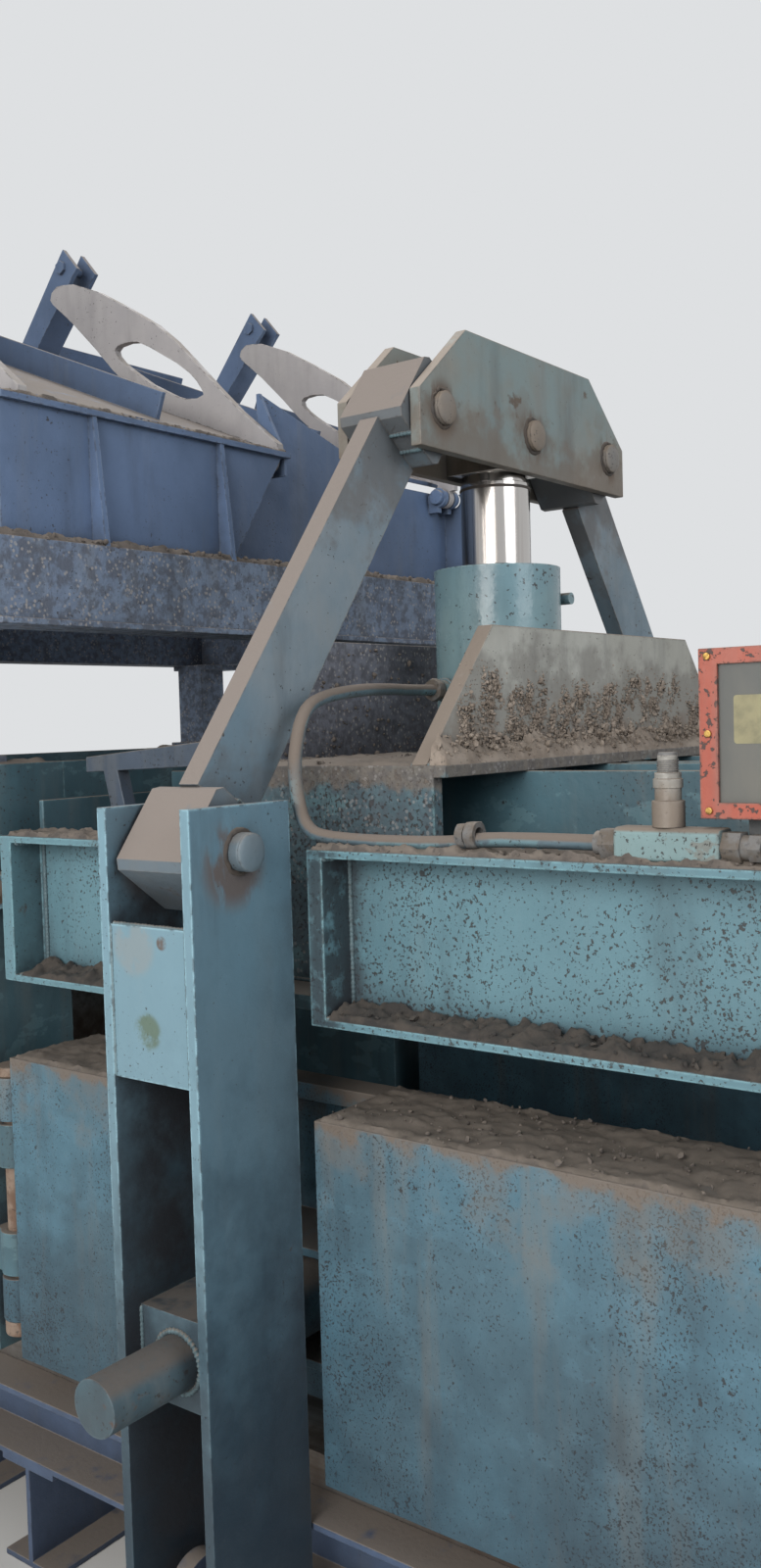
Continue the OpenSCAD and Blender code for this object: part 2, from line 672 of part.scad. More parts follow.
module control_box() color(steel) {
    difference() {
        block([-pipe_x, -box_x], [box_y - box_w, box_y], [box_z, box_z + box_h]);
        block([-pipe_x - 1, -box_x - 5], [box_y - box_w + 5, box_y - 5], [box_z + 5, box_z + box_h - 5]);
    }
    for (y = [box_y - box_w + 50, box_y - 90])
        block([-beam_x - 27, -beam_x - 2], [y, y + 40], [beam_top, box_z]);
}

module control_frame() color(orange) plate_yz([-pipe_x - 6, -pipe_x]) difference() {
    translate([box_y - box_w, box_z]) square([box_w, box_h]);
    translate([box_y - box_w + 24, box_z + 20]) square([box_w - 48, box_h - 40]);
}

module control_window() color([0.45, 0.45, 0.42])
    block([-pipe_x, -pipe_x + 4], [box_y - box_w + 5 + touch, box_y - 5 - touch],
        [box_z + 5 + touch, box_z + box_h - 5 - touch]);

module control_screws() color([0.6, 0.5, 0.25]) {
    for (y = [box_y - 12, box_y - box_w / 2, box_y - box_w + 12], z = [box_z + 10, box_z + box_h - 10])
        rod_x(9, [-pipe_x - 10, -pipe_x - 6], y, z);
    for (y = [box_y - 12, box_y - box_w + 12]) rod_x(9, [-pipe_x - 10, -pipe_x - 6], y, box_z + box_h / 2);
}

module head_plate(y) color(teal) difference() {
    plate_xz(y) polygon([[-head_bottom, head_bottom_z], [head_bottom, head_bottom_z],
        [head_bottom, head_shoulder_z], [head_top, head_top_z], [-head_top, head_top_z],
        [-head_bottom, head_shoulder_z]]);
    for (x = [-head_pin_x, 0, head_pin_x]) rod_y(head_pin_d, x, [y[0] - 1, y[1] + 1], head_pin_z);
}

module head_pins() color(rust) for (x = [-head_pin_x, 0, head_pin_x])
    rod_y(head_pin_d, x, [-head_half - 10, head_half + 10], head_pin_z);

module tension_rod() color(chrome) difference() {
    union() {
        rod_z(rod_d, 0, 0, [barrel_foot_z + 120, head_bottom_z - 12]);
        rod_z(rod_d - 8, 0, 0, [head_bottom_z - 12, head_bottom_z + 6]);
        block([-70, 70], [-head_inner + touch, head_inner - touch], [head_bottom_z + 6, head_pin_z]);
        rod_y(140, 0, [-head_inner + touch, head_inner - touch], head_pin_z);
    }
    rod_y(head_pin_d, 0, [-head_half, head_half], head_pin_z);
}

// Outline of a strut end block with its corners bevelled
module block_outline() {
    c = block_chamfer;
    polygon([[-block_l + c, -block_w], [block_l - c, -block_w], [block_l, -block_w + c],
        [block_l, block_w - c], [block_l - c, block_w], [-block_l + c, block_w], [-block_l, block_w - c],
        [-block_l, -block_w + c]]);
}

module strut(side) color(teal) on_side(side) translate([lever_x, 0, lever_pin_z])
    rotate([0, strut_angle - 180, 0]) difference() {
        union() {
            block([block_l - 1, strut_len - block_l + 1], [-strut_t / 2, strut_t / 2],
                [-strut_w / 2, strut_w / 2]);
            for (u = [0, strut_len]) translate([u, 0, 0]) plate_xz([-block_half, block_half]) block_outline();
        }
        rod_y(lever_pin_d + 2 * foot_gap, 0, [-block_half - 1, block_half + 1], 0);
        rod_y(head_pin_d + 2 * run_gap, strut_len, [-block_half - 1, block_half + 1], 0);
    }

module lever(side) color(teal) on_side(side) difference() {
    union() {
        for (y = [[-lever_half, -lever_inner], [lever_inner, lever_half]]) plate_xz(y) union() {
            translate([lever_in, pivot_z]) square([lever_w, lever_top - pivot_z]);
            intersection() {
                translate([lever_x, pivot_z]) circle(r = lever_w / 2 + lever_offset);
                translate([lever_in, pivot_z - lever_w]) square([lever_w, lever_w + 1]);
            }
        }
        block([lever_out - 15, lever_out - 3], [-lever_inner, lever_inner], [web_z0, web_z1]);
        block([lever_in + 30, lever_in + 30 + saddle_block[0]], [-lever_inner, lever_inner],
            [thrust_z - saddle_block[1] / 2, thrust_z + saddle_block[1] / 2]);
        block([lever_in + 3, lever_in + 15], [-lever_inner, lever_inner], [thrust_z + 160, web_z1 - 60]);
    }
    rod_y(lever_pin_d, lever_x, [-lever_half - 1, lever_half + 1], lever_pin_z);
    rod_y(lever_pin_d + 2 * run_gap, lever_x, [-lever_half - 1, lever_half + 1], pivot_z);
    rod_x(thrust_d, [lever_in - 10, lever_out + 10], 0, thrust_z);
}

module lever_pins(side) color(rust) on_side(side)
    rod_y(lever_pin_d, lever_x, [-lever_half - 22, lever_half + 22], lever_pin_z);

module thrust_bar(side) color(rust) on_side(side) intersection() {
    rod_x(thrust_d, [wall_x + 0.5, thrust_out], 0, thrust_z);
    union() {
        translate([wall_x + 80.5, 0, thrust_z]) sphere(r = 80, $fn = 96);
        rod_x(thrust_d + 10, [wall_x + 60, thrust_out + 1], 0, thrust_z);
    }
}

module side_wall(side) color(light_teal) on_side(side) {
    x1 = wall_x - wall_t;
    block([inner_x, inner_x + skin_t], [wall_y0, wall_len], [wall_z, wall_top]);
    for (y = [[wall_y0, -recess_half], [recess_half, wall_len]]) {
        block([x1, wall_x], y, [wall_z, wall_top]);
        block([inner_x, wall_x], y, [wall_top - wall_t, wall_top]);
        for (i = [0:2]) {
            rib_y = y[0] + (y[1] - y[0] - wall_t) * i / 2;
            block([inner_x, wall_x], [rib_y, rib_y + wall_t], [wall_z, wall_top]);
        }
    }
    block([inner_x, inner_x + 60], [-recess_half, recess_half], [wall_top - 30, wall_top]);
    rod_x(130, [inner_x + skin_t - 1, wall_x], 0, thrust_z);
    for (z = [thrust_z - 100, thrust_z + 85]) block([inner_x + skin_t - 1, wall_x - 60],
        [-recess_half, recess_half], [z, z + 15]);
    for (z = wall_knuckle_z) knuckle(z, wall_len - 5);
}

module ram() color(steel) difference() {
    union() {
        difference() {
            block([-inner_x + ram_gap, inner_x - ram_gap], [ram_y0, ram_y1], [ram_z0, ram_top]);
            block([-inner_x + ram_gap + ram_t, inner_x - ram_gap - ram_t], [ram_y0 + ram_face_t, ram_y1 + 1],
                [ram_z0 + ram_t, ram_top - ram_t]);
        }
        for (s = [-1, 1]) {
            block([-inner_x + 20, inner_x - 20], [ram_y1 - 15, ram_y1],
                s < 0 ? [ram_z0, ram_z0 + 70] : [ram_top - 70, ram_top]);
            block(s < 0 ? [-85, -55] : [55, 85], [ram_y0 + ram_face_t - 1, ram_pin_y + 70],
                [main_z - 90, main_z + 90]);
            block([s * 400 - 8, s * 400 + 8], [ram_y0 + ram_face_t - 1, ram_y1 - 200],
                [ram_z0, ram_top]);
        }
        on_both_sides() block([inner_x - ram_gap - 60, inner_x - ram_gap], [ram_y0, ram_y1],
            [rail_z[0] - 25, rail_z[1] + 25]);
    }
    on_both_sides() block([inner_x - 33, inner_x], [ram_y0 - 1, ram_y1 + 1], [rail_z[0] - 3, rail_z[1] + 3]);
    block([-inner_x, inner_x], [ram_y0 - 1, ram_y0 + 30], [ram_top - 50, ram_top + 1]);
    rod_x(main_pin_d, [-90, 90], ram_pin_y, main_z);
}

module ram_knife() color(chrome) difference() {
    block([-inner_x + ram_gap, inner_x - ram_gap], [ram_y0, ram_y0 + 30], [ram_top - 50, ram_top]);
    for (x = [-480:160:480]) rod_y(26, x, [ram_y0 - 1, ram_y0 + 12], ram_top - 26);
}

module ram_shoes() color(rust) on_both_sides()
    block([inner_x - 160, inner_x - 20], [ram_y0 + 20, ram_y1 - 20], [floor_z + touch, ram_z0]);

module main_rod() color(chrome) difference() {
    union() {
        rod_y(main_rod_d, 0, [ram_pin_y, main_y1 - 80], main_z);
        rod_x(150, [-54, 54], ram_pin_y, main_z);
    }
    rod_x(main_pin_d, [-90, 90], ram_pin_y, main_z);
    on_both_sides() block([54, 80], [ram_pin_y - 80, ram_pin_y + 80], [main_z - 80, main_z + 80]);
}

module ram_pin() color(rust) rod_x(main_pin_d, [-105, 105], ram_pin_y, main_z);

// Puts a piece of the lid, drawn closed, at its stored angle
module at_lid_angle() {
    translate([0, lid_hinge[0], lid_hinge[1]]) rotate([lid_angle, 0, 0])
        translate([0, -lid_hinge[0], -lid_hinge[1]]) children();
}

module lid_panel() color(navy) at_lid_angle() {
    y0 = lid_hinge[0] + 62;
    y1 = lid_hinge[0] + lid_len;
    half = ring_half - 20;
    top = lid_base + lid_t;
    rib = 60;
    rib_y = [y0 + 40, y1 - 160];
    block([-half, half], [y0, y1], [lid_base, top]);
    for (x = [-half, -half / 3, half / 3 - lid_t, half - lid_t])
        block([x, x + lid_t], rib_y, [top, top + rib]);
    for (x = [-arm_x, 0]) block([x + 150, x + arm_x - 100], [y1 - lid_t, y1], [top, top + rib]);
}

// Outline of an arm from the shaft: foot, upper edge, round end, lower edge
ARM = [[-24, 17], [-38, 18], [-38, 35], [74, 127], [143, 193], [190, 240], [280, 328], [343, 379], [439, 439],
    [547, 501], [638, 539], [680, 546], [704, 547], [724, 535], [730, 518], [722, 506],
    [644, 439], [562, 360], [502, 297],
    [450, 251], [385, 203], [341, 164], [297, 125], [0, -10]];
ARM_SLOT = [[491, 345], [480, 353], [444, 355], [410, 350], [365, 327], [277, 274], [235, 243],
    [210, 218], [192, 192], [190, 183], [212, 178], [250, 184], [287, 198], [369, 241],
    [441, 291], [470, 314], [487, 332]];

module lid_arm(x) {
    difference() {
        plate_yz([x - arm_t / 2, x + arm_t / 2]) translate(lid_hinge) {
            circle(d = lid_boss_d);
            difference() {
                polygon(ARM);
                polygon(ARM_SLOT);
            }
        }
        rod_x(lid_shaft_d + 2 * run_gap, [x - 40, x + 40], lid_hinge[0], lid_hinge[1]);
    }
}

module lid_arms() color([0.45, 0.45, 0.46]) difference() {
    for (x = [-arm_x, 0, arm_x]) lid_arm(x);
    at_lid_angle() block([-arm_x - 20, arm_x + 20], [lid_hinge[0] + 27, lid_hinge[0] + lid_len],
        [lid_hinge[1] - 80, lid_base + lid_t]);
}

// The channel posts beside the arms, with a bolt through the top of both flanges
module lid_links() color(navy) difference() {
    for (x = [-arm_x, 0, arm_x]) translate([x + arm_t / 2, 0, 0]) {
        for (u = [0, post_w - post_t]) plate_yz([u, u + post_t]) translate(lid_hinge)
            polygon([[646, 587], [697, 646], [942, 363], [872, 355]]);
        plate_yz([post_t, post_w - post_t]) translate(lid_hinge)
            polygon([[688, 544], [697, 553], [881, 364], [872, 355]]);
        rod_x(22, [-8, post_w + 14], post_bolt[0], post_bolt[1]);
        for (u = [-8, post_w]) translate([u, post_bolt[0], post_bolt[1]]) rotate([0, 90, 0])
            cylinder(d = 36, h = u > 0 ? 12 : 8, $fn = 6);
    }
    at_lid_angle() block([-ring_half, ring_half], [lid_hinge[0], lid_hinge[0] + lid_len + 300],
        [lid_hinge[1] - 80, lid_base + lid_t + touch]);
    at_lid_angle() block([-ring_half, ring_half], [lid_hinge[0] + lid_len, lid_hinge[0] + lid_len + 300],
        [lid_hinge[1] - 80, lid_base + 300]);
}

base_frame();
channel_floor();
chamber_side(LEFT);  // chamber_side_left
chamber_side(RIGHT);  // chamber_side_right
chamber_front();
chamber_rear();
shear_blade();
guide_rails();
trough_cover();
rear_yoke();
yoke_pin();
main_barrel();
main_gland();
hopper_ring();
hopper_hood();
lid_shaft();
wall_pins();
roof_pins();
pivot_pins();
roof_plate();
edge_beam(LEFT, [exit_y, -beam_gap], -1);  // beam_front_left
edge_beam(RIGHT, [exit_y, -beam_gap], -1);  // beam_front_right
edge_beam(LEFT, [beam_gap, wall_len + 2], 1);  // beam_rear_left
edge_beam(RIGHT, [beam_gap, wall_len + 2], 1);  // beam_rear_right
saddle();
gusset([-gusset_y - gusset_t, -gusset_y]);  // gusset_front
gusset([gusset_y, gusset_y + gusset_t]);  // gusset_rear
roof_rails();
tension_barrel();
tension_gland();
pressure_pipe();
tee_block();
pipe_nuts();
riser();
control_box();
control_frame();
control_window();
control_screws();
head_plate([-head_half, -head_inner]);  // head_plate_front
head_plate([head_inner, head_half]);  // head_plate_rear
head_pins();
tension_rod();
strut(LEFT);  // strut_left
strut(RIGHT);  // strut_right
lever(LEFT);  // lever_left
lever(RIGHT);  // lever_right
lever_pins(LEFT);  // lever_pins_left
lever_pins(RIGHT);  // lever_pins_right
thrust_bar(LEFT);  // thrust_bar_left
thrust_bar(RIGHT);  // thrust_bar_right
side_wall(LEFT);  // side_wall_left
side_wall(RIGHT);  // side_wall_right
ram();
ram_knife();
ram_shoes();
main_rod();
ram_pin();
lid_panel();
lid_arms();
lid_links();
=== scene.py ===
# %% [markdown]
# A channel baler, dressed for a render.
# The construction comes in ready made, at its real size, and this lesson only adds what the
# eye wants: worn paint, rust, dust, painted light and shade, weld seams, threads and plain studio light.
# Everything is in metres. Z is up, the bale channel runs along Y and the linkage lies in X and Z.

# %% Load the machine
import math
import random

import bpy
from mathutils import Matrix, Vector, noise


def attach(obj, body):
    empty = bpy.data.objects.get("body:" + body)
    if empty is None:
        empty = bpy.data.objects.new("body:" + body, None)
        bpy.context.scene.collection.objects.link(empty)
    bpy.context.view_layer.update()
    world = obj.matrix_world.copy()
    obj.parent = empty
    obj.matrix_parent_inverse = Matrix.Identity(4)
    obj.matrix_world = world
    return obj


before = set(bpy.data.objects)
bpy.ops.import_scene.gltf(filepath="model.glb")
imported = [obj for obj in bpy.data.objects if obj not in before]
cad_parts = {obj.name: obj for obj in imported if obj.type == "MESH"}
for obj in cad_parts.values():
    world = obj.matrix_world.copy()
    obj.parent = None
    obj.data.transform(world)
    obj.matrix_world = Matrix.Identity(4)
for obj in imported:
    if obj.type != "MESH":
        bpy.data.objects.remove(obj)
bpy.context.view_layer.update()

# %% [markdown]
# The camera stands at eye height beside the channel and looks along it, towards the linkage.
# Three unit vectors say how it is held: where it looks, what is right and what is up.
# A rotation matrix built from them is safer than angles, because nothing has to be guessed.

# %% Camera
EYE = Vector((-2.301, -1.424, 1.600))
LOOK = Vector((0.7974, 0.6015, -0.0468)).normalized()
RIGHT = Vector((0.6009, -0.7988, -0.0286)).normalized()
UP = RIGHT.cross(LOOK).normalized()
LENS = 30.25
SENSOR = 36


def put(name, data):
    """Stands an object with that data in the scene."""
    thing = bpy.data.objects.new(name, data)
    bpy.context.scene.collection.objects.link(thing)
    return thing


camera_data = bpy.data.cameras.new("camera")
camera_data.lens = LENS
camera_data.sensor_width = SENSOR
camera = put("camera", camera_data)
camera.matrix_world = Matrix.Translation(EYE) @ Matrix((RIGHT, UP, -LOOK)).transposed().to_4x4()
bpy.context.scene.camera = camera
print("camera height:", round(camera.matrix_world.translation.z, 3))

# %% [markdown]
# A shader is a small graph, and a graph is easier to read when each node costs one line.
# make() adds a node and fills its sockets, and the helpers after it name what a node is for.
# Colours are written as a paint card shows them, 0 to 255, and turned into linear light.

# %% Colours and nodes
def tone(red, green, blue):
    linear = [((c / 255 + 0.055) / 1.055) ** 2.4 if c > 10 else c / 3294.6 for c in (red, green, blue)]
    return (*linear, 1.0)


def make(kind, inputs=None, **properties):
    made = tree.nodes.new("ShaderNode" + kind)
    for name, value in properties.items():
        setattr(made, name, value)
    for name, value in (inputs or {}).items():
        if isinstance(value, bpy.types.NodeSocket):
            tree.links.new(value, made.inputs[name])
        else:
            made.inputs[name].default_value = value
    return made


print("the paint card's mid grey is", round(tone(128, 128, 128)[0], 3), "in linear light")

# %% Sums with masks
def math_node(operation, a, b):
    return make("Math", {0: a, 1: b}, operation=operation, use_clamp=True).outputs[0]


def times(a, b):
    return math_node("MULTIPLY", a, b)


def between(value, low, high):
    """0 below low, 1 above high and a smooth rise between them."""
    inputs = {"Value": value, "From Min": low, "From Max": high}
    return make("MapRange", inputs, interpolation_type="SMOOTHSTEP").outputs[0]


def mixed(mask, under, over):
    """A colour is the end of another node or three numbers of the paint card."""
    a, b = [c if isinstance(c, bpy.types.NodeSocket) else tone(*c) for c in (under, over)]
    return make("Mix", {"Factor": mask, 6: a, 7: b}, data_type="RGBA").outputs[2]


def layer(under, mask, amount, over):
    """Puts the colour over on top of under where the mask is, as thickly as amount says."""
    return mixed(times(mask, amount), under, over)


def blend(mask, under, over):
    inputs = {0: mask, 2: under, 3: over}
    return make("Mix", inputs, data_type="FLOAT").outputs[0]


print("six ways to join nodes")

# %% [markdown]
# Nothing on an old machine is even, so every mask is broken up by a random pattern.
# Noise gives soft blobs, which suit clouds, rust and chips; cells give separate crumbs.
# Both read the piece's own coordinates in metres, so a blob has the same size on every piece.

# %% Random patterns
def spots(size, detail, stretch=(1, 1, 1), shift=0):
    """Soft random values around 0.5, with blobs of about that size in metres."""
    place = make("TexCoord").outputs["Object"]
    shift += seed
    inputs = {"Vector": place, "Scale": stretch, "Location": (shift, shift / 2, shift)}
    moved = make("Mapping", inputs)
    inputs = {"Vector": moved.outputs[0], "Scale": 0.5 / size, "Detail": detail, "Roughness": 0.6}
    return make("TexNoise", inputs).outputs[0]


def cells(size):
    """Distance to the middle of the nearest crumb, for crumbs of about that size."""
    place = make("TexCoord").outputs["Object"]
    moved = make("Mapping", {"Vector": place, "Location": (seed, seed, seed)})
    inputs = {"Vector": moved.outputs[0], "Scale": 1 / size}
    return make("TexVoronoi", inputs).outputs["Distance"]


print("two random patterns: soft spots and cells")

# %% [markdown]
# Wear follows the form, and so do painted light and shade. Paint goes first at the edges, which
# also get a painted highlight, the corners are darkened as painted shade, and dust lies on
# whatever faces up. Masks find these places on any piece, without any unwrapping.
# The edge mask compares a rounded normal with the real one; the corner mask counts what is near.

# %% Masks that follow the form
# The edge mask gives worn paint and a painted highlight along every edge.
def worn_and_lit_edges(radius):
    rounded = make("Bevel", {"Radius": radius}, samples=4).outputs[0]
    real = make("NewGeometry").outputs["Normal"]
    same = make("VectorMath", {0: rounded, 1: real}, operation="DOT_PRODUCT")
    return between(math_node("SUBTRACT", 1.0, same.outputs["Value"]), 0.01, 0.14)


# Painted shade: occlusion darkens the corners and recesses.
def shaded_corners(reach):
    open_sky = make("AmbientOcclusion", {"Distance": reach}, samples=4).outputs["AO"]
    return between(math_node("SUBTRACT", 1.0, open_sky), 0.25, 0.75)


def facing_up(low=0.35, high=0.9):
    normal = make("NewGeometry").outputs["Normal"]
    height = make("SeparateXYZ", {0: normal}).outputs["Z"]
    return between(height, low, high)


# Used for painted light: faces turned to the sides are painted lighter.
def facing_sideways():
    normal = make("NewGeometry").outputs["Normal"]
    sideways = make("SeparateXYZ", {0: normal}).outputs["X"]
    either_way = make("Math", {0: sideways}, operation="ABSOLUTE")
    return between(either_way.outputs[0], 0.6, 0.95)


print("masks for edges, corners, level and upright faces ready")

# %% [markdown]
# Some marks have a place of their own: rust bleeds out round a pin, and bands of dirt and of painted shade
# end at a height.
# near_axis() measures the distance to a line, which suits a pin that passes through a plate.
# band() compares heights, and its border wanders with the noise, so that no band ends level.

# %% Masks for a place and a height
def near_axis(point, keep, reach, soft):
    """1 close to a line through point, 0 beyond reach; keep has a 0 along the line."""
    place = make("TexCoord").outputs["Object"]
    away = make("VectorMath", {0: place, 1: point}, operation="SUBTRACT").outputs[0]
    flat = make("VectorMath", {0: away, 1: keep}, operation="MULTIPLY").outputs[0]
    length = make("VectorMath", {0: flat}, operation="LENGTH").outputs["Value"]
    return math_node("SUBTRACT", 1.0, between(length, reach - soft, reach))


def band(none, full):
    """0 at the height none, 1 at the height full, with an uneven border between them."""
    place = make("TexCoord").outputs["Object"]
    height = make("SeparateXYZ", {0: place}).outputs["Z"]
    reach = min(max(0.6 * abs(full - none), 0.02), 0.10)
    inputs = {"Value": spots(0.04, 6), "From Min": 0.36, "From Max": 0.64,
              "To Min": -reach, "To Max": reach}
    wander = make("MapRange", inputs).outputs[0]
    moved = make("Math", {0: height, 1: wander}, operation="ADD").outputs[0]
    return between(moved, none, full)


print("masks for pins and heights ready")

# %% [markdown]
# Every finish starts from a blank material and ends in the same three sockets of the shader.
# blank() also puts it on a shelf under its name, where the pieces find it later.
# The bump's depth is given in metres, so a chip is as deep as a coat of paint is thick.

# %% The start and the end of a material
SHELF = {}


def blank(name, number=0):
    """Starts a finish: make() adds to its tree and spots() start from its number."""
    global tree, shader, seed
    material = bpy.data.materials.new(name)
    material.use_nodes = True
    tree, seed = material.node_tree, number
    shader = tree.nodes["Principled BSDF"]
    SHELF[name] = material


def finish(colour, roughness, height, depth):
    """Joins the graph's ends to the shader; depth is how far the bump reaches, in metres."""
    bump = make("Bump", {"Height": height, "Distance": depth, "Strength": 1.0})
    tree.links.new(colour, shader.inputs["Base Color"])
    tree.links.new(roughness, shader.inputs["Roughness"])
    tree.links.new(bump.outputs[0], shader.inputs["Normal"])


def two_tone(mask, under, over, rough, height, depth):
    """A finish of two tones, each with its own roughness."""
    finish(mixed(mask, under, over), blend(mask, *rough), height, depth)


print("a start and two ends ready")

# %% [markdown]
# The paint is one recipe with different amounts. From below: the coat in two tones, pale runs
# down the sides, scuffs where brighter paint shows, sides painted lighter as painted light, rust
# that blooms, chips down to dark primer, stains with blots of painted shade, bright worn edges
# with a painted highlight, bands of dirt and of painted shade at given heights, painted shade in
# the corners and dust on top.
# Each layer covers the last with its own mask, so a layer can be left out by an amount of 0.

# %% The coat with its clouds, runs and scuffs
CHIP = (50, 48, 47)
RUST = (90, 68, 54)
DUST = (122, 112, 102)
# GRIME_AND_SHADE is the dark tone of grime streaks and also of the painted shade in corners.
GRIME_AND_SHADE = (42, 44, 50)
RUNS = (120, 120, 116)


def coat_layers(coat, faded, edge, grime_and_shade, runs, scuffs):
    """Gives the colour of the coat and its fine mottle."""
    cloud = between(spots(0.22, 4), 0.38, 0.62)
    colour = mixed(cloud, coat, faded)
    mottle = between(spots(0.03, 5, shift=3), 0.35, 0.75)
    colour = layer(colour, mottle, 0.4, faded)
    streak = between(spots(0.03, 5, stretch=(1, 1, 0.1), shift=5), 0.5, 0.74)
    colour = layer(colour, streak, runs, RUNS)
    shade = between(spots(0.05, 5, stretch=(1, 1, 0.2), shift=6), 0.5, 0.8)
    colour = layer(colour, shade, grime_and_shade * 0.5, GRIME_AND_SHADE)
    if scuffs:
        high = 0.61 - 0.07 * scuffs
        patch = spots(0.030, 9, stretch=(0.6, 0.6, 1), shift=8)
        colour = layer(colour, between(patch, high - 0.03, high), scuffs, edge)
    return colour, mottle


print("coat ready")

# %% Rust, chips and worn edges
def rust_mask(rust, rust_near):
    """Small blooms anywhere, and a ragged ring round each place in rust_near."""
    bloom = between(spots(0.035, 8, shift=7), 0.70 - 0.07 * rust, 0.76 - 0.06 * rust)
    for point, keep, reach in rust_near:
        ring = near_axis(point, keep, reach, reach * 0.5)
        ragged = between(spots(0.02, 6, stretch=(1, 1, 0.4), shift=9), 0.40, 0.54)
        bloom = math_node("MAXIMUM", bloom, times(ring, ragged))
    return bloom


def chip_mask(chips, chip_size):
    """Specks of a few millimetres and bigger flakes, thicker in some places than in others."""
    crowd = between(spots(0.10, 4, stretch=(1, 1, 0.5), shift=2), 0.35, 0.65)
    gathers = times(crowd, 0.08)
    speck = math_node("ADD", spots(0.0028 * chip_size, 3, shift=11), gathers)
    speck = between(speck, 0.750 - 0.1 * chips, 0.770 - 0.1 * chips)
    flake = math_node("ADD", spots(0.009 * chip_size, 6, shift=12), gathers)
    flake = between(flake, 0.775 - 0.07 * chips, 0.785 - 0.07 * chips)
    return math_node("MAXIMUM", speck, flake)


def edge_layers(colour, edge):
    """Brighter paint along every edge, partly worn paint and partly a painted highlight, broken where even
    that is gone.
    """
    rim = worn_and_lit_edges(0.006)
    broken = between(spots(0.010, 6, shift=13), 0.40, 0.52)
    colour = layer(colour, rim, 0.8, edge)
    bare = times(rim, math_node("SUBTRACT", 1.0, broken))
    return layer(colour, bare, 0.85, CHIP)


print("rust, chips and edges ready")

# %% Stains, painted shade, dust and crust
CRUST = (76, 76, 82)
PALE_CRUST = (156, 152, 150)


# Real stains, and dark blots of painted shade on the beam returns.
def stain_and_shade_layers(colour, stains_and_shade):
    for place, keep, reach, mark_tone, amount in stains_and_shade:
        blot = near_axis(place, keep, reach, reach * 0.35)
        ragged = between(spots(0.016, 6, shift=15), 0.34, 0.50)
        colour = layer(colour, times(blot, ragged), amount, mark_tone)
    return colour


# Painted shade: darker where other surfaces are near, in corners and recesses.
def corner_shade_mask(shade_reach, grime_and_shade):
    uneven = between(spots(0.05, 5, shift=17), 0.2, 0.6)
    return times(times(shaded_corners(shade_reach), uneven), grime_and_shade)


def dust_mask(dust, slope):
    ragged = between(spots(0.03, 7, shift=19), 0.52 - 0.35 * dust, 0.62 - 0.2 * dust)
    return times(times(facing_up(slope, slope + 0.4), ragged), dust)


def crust_layers(colour, crust):
    """Caked dirt with pale crumbs in it; gives the colour and the mask of the lumps."""
    lumps = between(spots(0.010, 8, shift=27), 0.42, 0.60)
    colour = layer(colour, lumps, crust * 0.8, CRUST)
    pale = between(cells(0.010), 0.36, 0.24)
    pale = times(pale, between(spots(0.02, 4, shift=29), 0.42, 0.55))
    return layer(colour, pale, crust, PALE_CRUST), times(lumps, crust)


# Dust, crust and most stains are dirt; the corner mask is painted shade.
print("dirt of four kinds ready")

# %% The recipe for old paint
def paint(name, coat, faded, edge, wear, number, runs=0.3, gloss=0.5, dust_tone=DUST, slope=0.35,
          shade_reach=0.09, chip_size=1.0, scuffs=0.0, crust=0.0, side_light=0.0, rust_near=(),
          stains_and_shade=(), bands=()):
    """Three tones of the coat, and wear: how much there is of chips, rust, dust, and of grime with painted
    shade in the corners.
    """
    chips, rust, dust, grime_and_shade = wear
    blank(name, number)
    colour, mottle = coat_layers(coat, faded, edge, grime_and_shade, runs, scuffs)
    # Painted light: faces turned to the sides are painted lighter.
    if side_light:
        colour = layer(colour, facing_sideways(), side_light, edge)
    bloom = rust_mask(rust, rust_near)
    colour = layer(colour, bloom, 0.75, RUST)
    chip = chip_mask(chips, chip_size)
    colour = layer(colour, chip, 0.9, CHIP)
    # Stains, and blots of painted shade on the beam returns.
    colour = stain_and_shade_layers(colour, stains_and_shade)
    colour = edge_layers(colour, edge)
    # Some bands are dirt; the low bands darken the lower parts as painted shade.
    for none, full, band_tone, amount in bands:
        colour = layer(colour, band(none, full), amount, band_tone)
    # Painted shade: corners and recesses are darkened.
    corner = corner_shade_mask(shade_reach, grime_and_shade)
    colour = mixed(corner, colour, GRIME_AND_SHADE)
    lying = dust_mask(dust, slope)
    colour = mixed(lying, colour, dust_tone)

    dull = math_node("MAXIMUM", lying, math_node("MAXIMUM", corner, bloom))
    depth = 0.0010
    if crust:
        colour, lumps = crust_layers(colour, crust)
        dull = math_node("MAXIMUM", dull, lumps)
        depth = 0.0035
    rough = blend(mottle, gloss, gloss + 0.16)
    rough = blend(dull, rough, 0.95)
    height = blend(chip, spots(0.012, 3), 0.1)
    height = blend(times(dull, 0.85), height, spots(0.006, 8, shift=23))
    finish(colour, rough, height, depth)


print("paint recipe ready")

# %% [markdown]
# Now the paint shop. The light teal coat is on the beams, levers and side walls. The crosshead,
# struts and gussets carry the same coat under a grey film of dust. The hopper is nearly navy.
# Points where a pin comes through bleed rust, so the recipe is told where the pins are.
# Near the ground everything is painted darker, as painted shade.

# %% Where rust, stains and painted shade are
ALL_WAYS = (1, 1, 1)
ALONG_Y = (1, 0, 1)
ALONG_Z = (1, 1, 0)
LEVER_X = 0.887
LEVER_PIN_Z = 1.416
LEVER_FOOT_Z = 0.250
HEAD_PIN_X = 0.320
HEAD_PIN_Z = 2.157
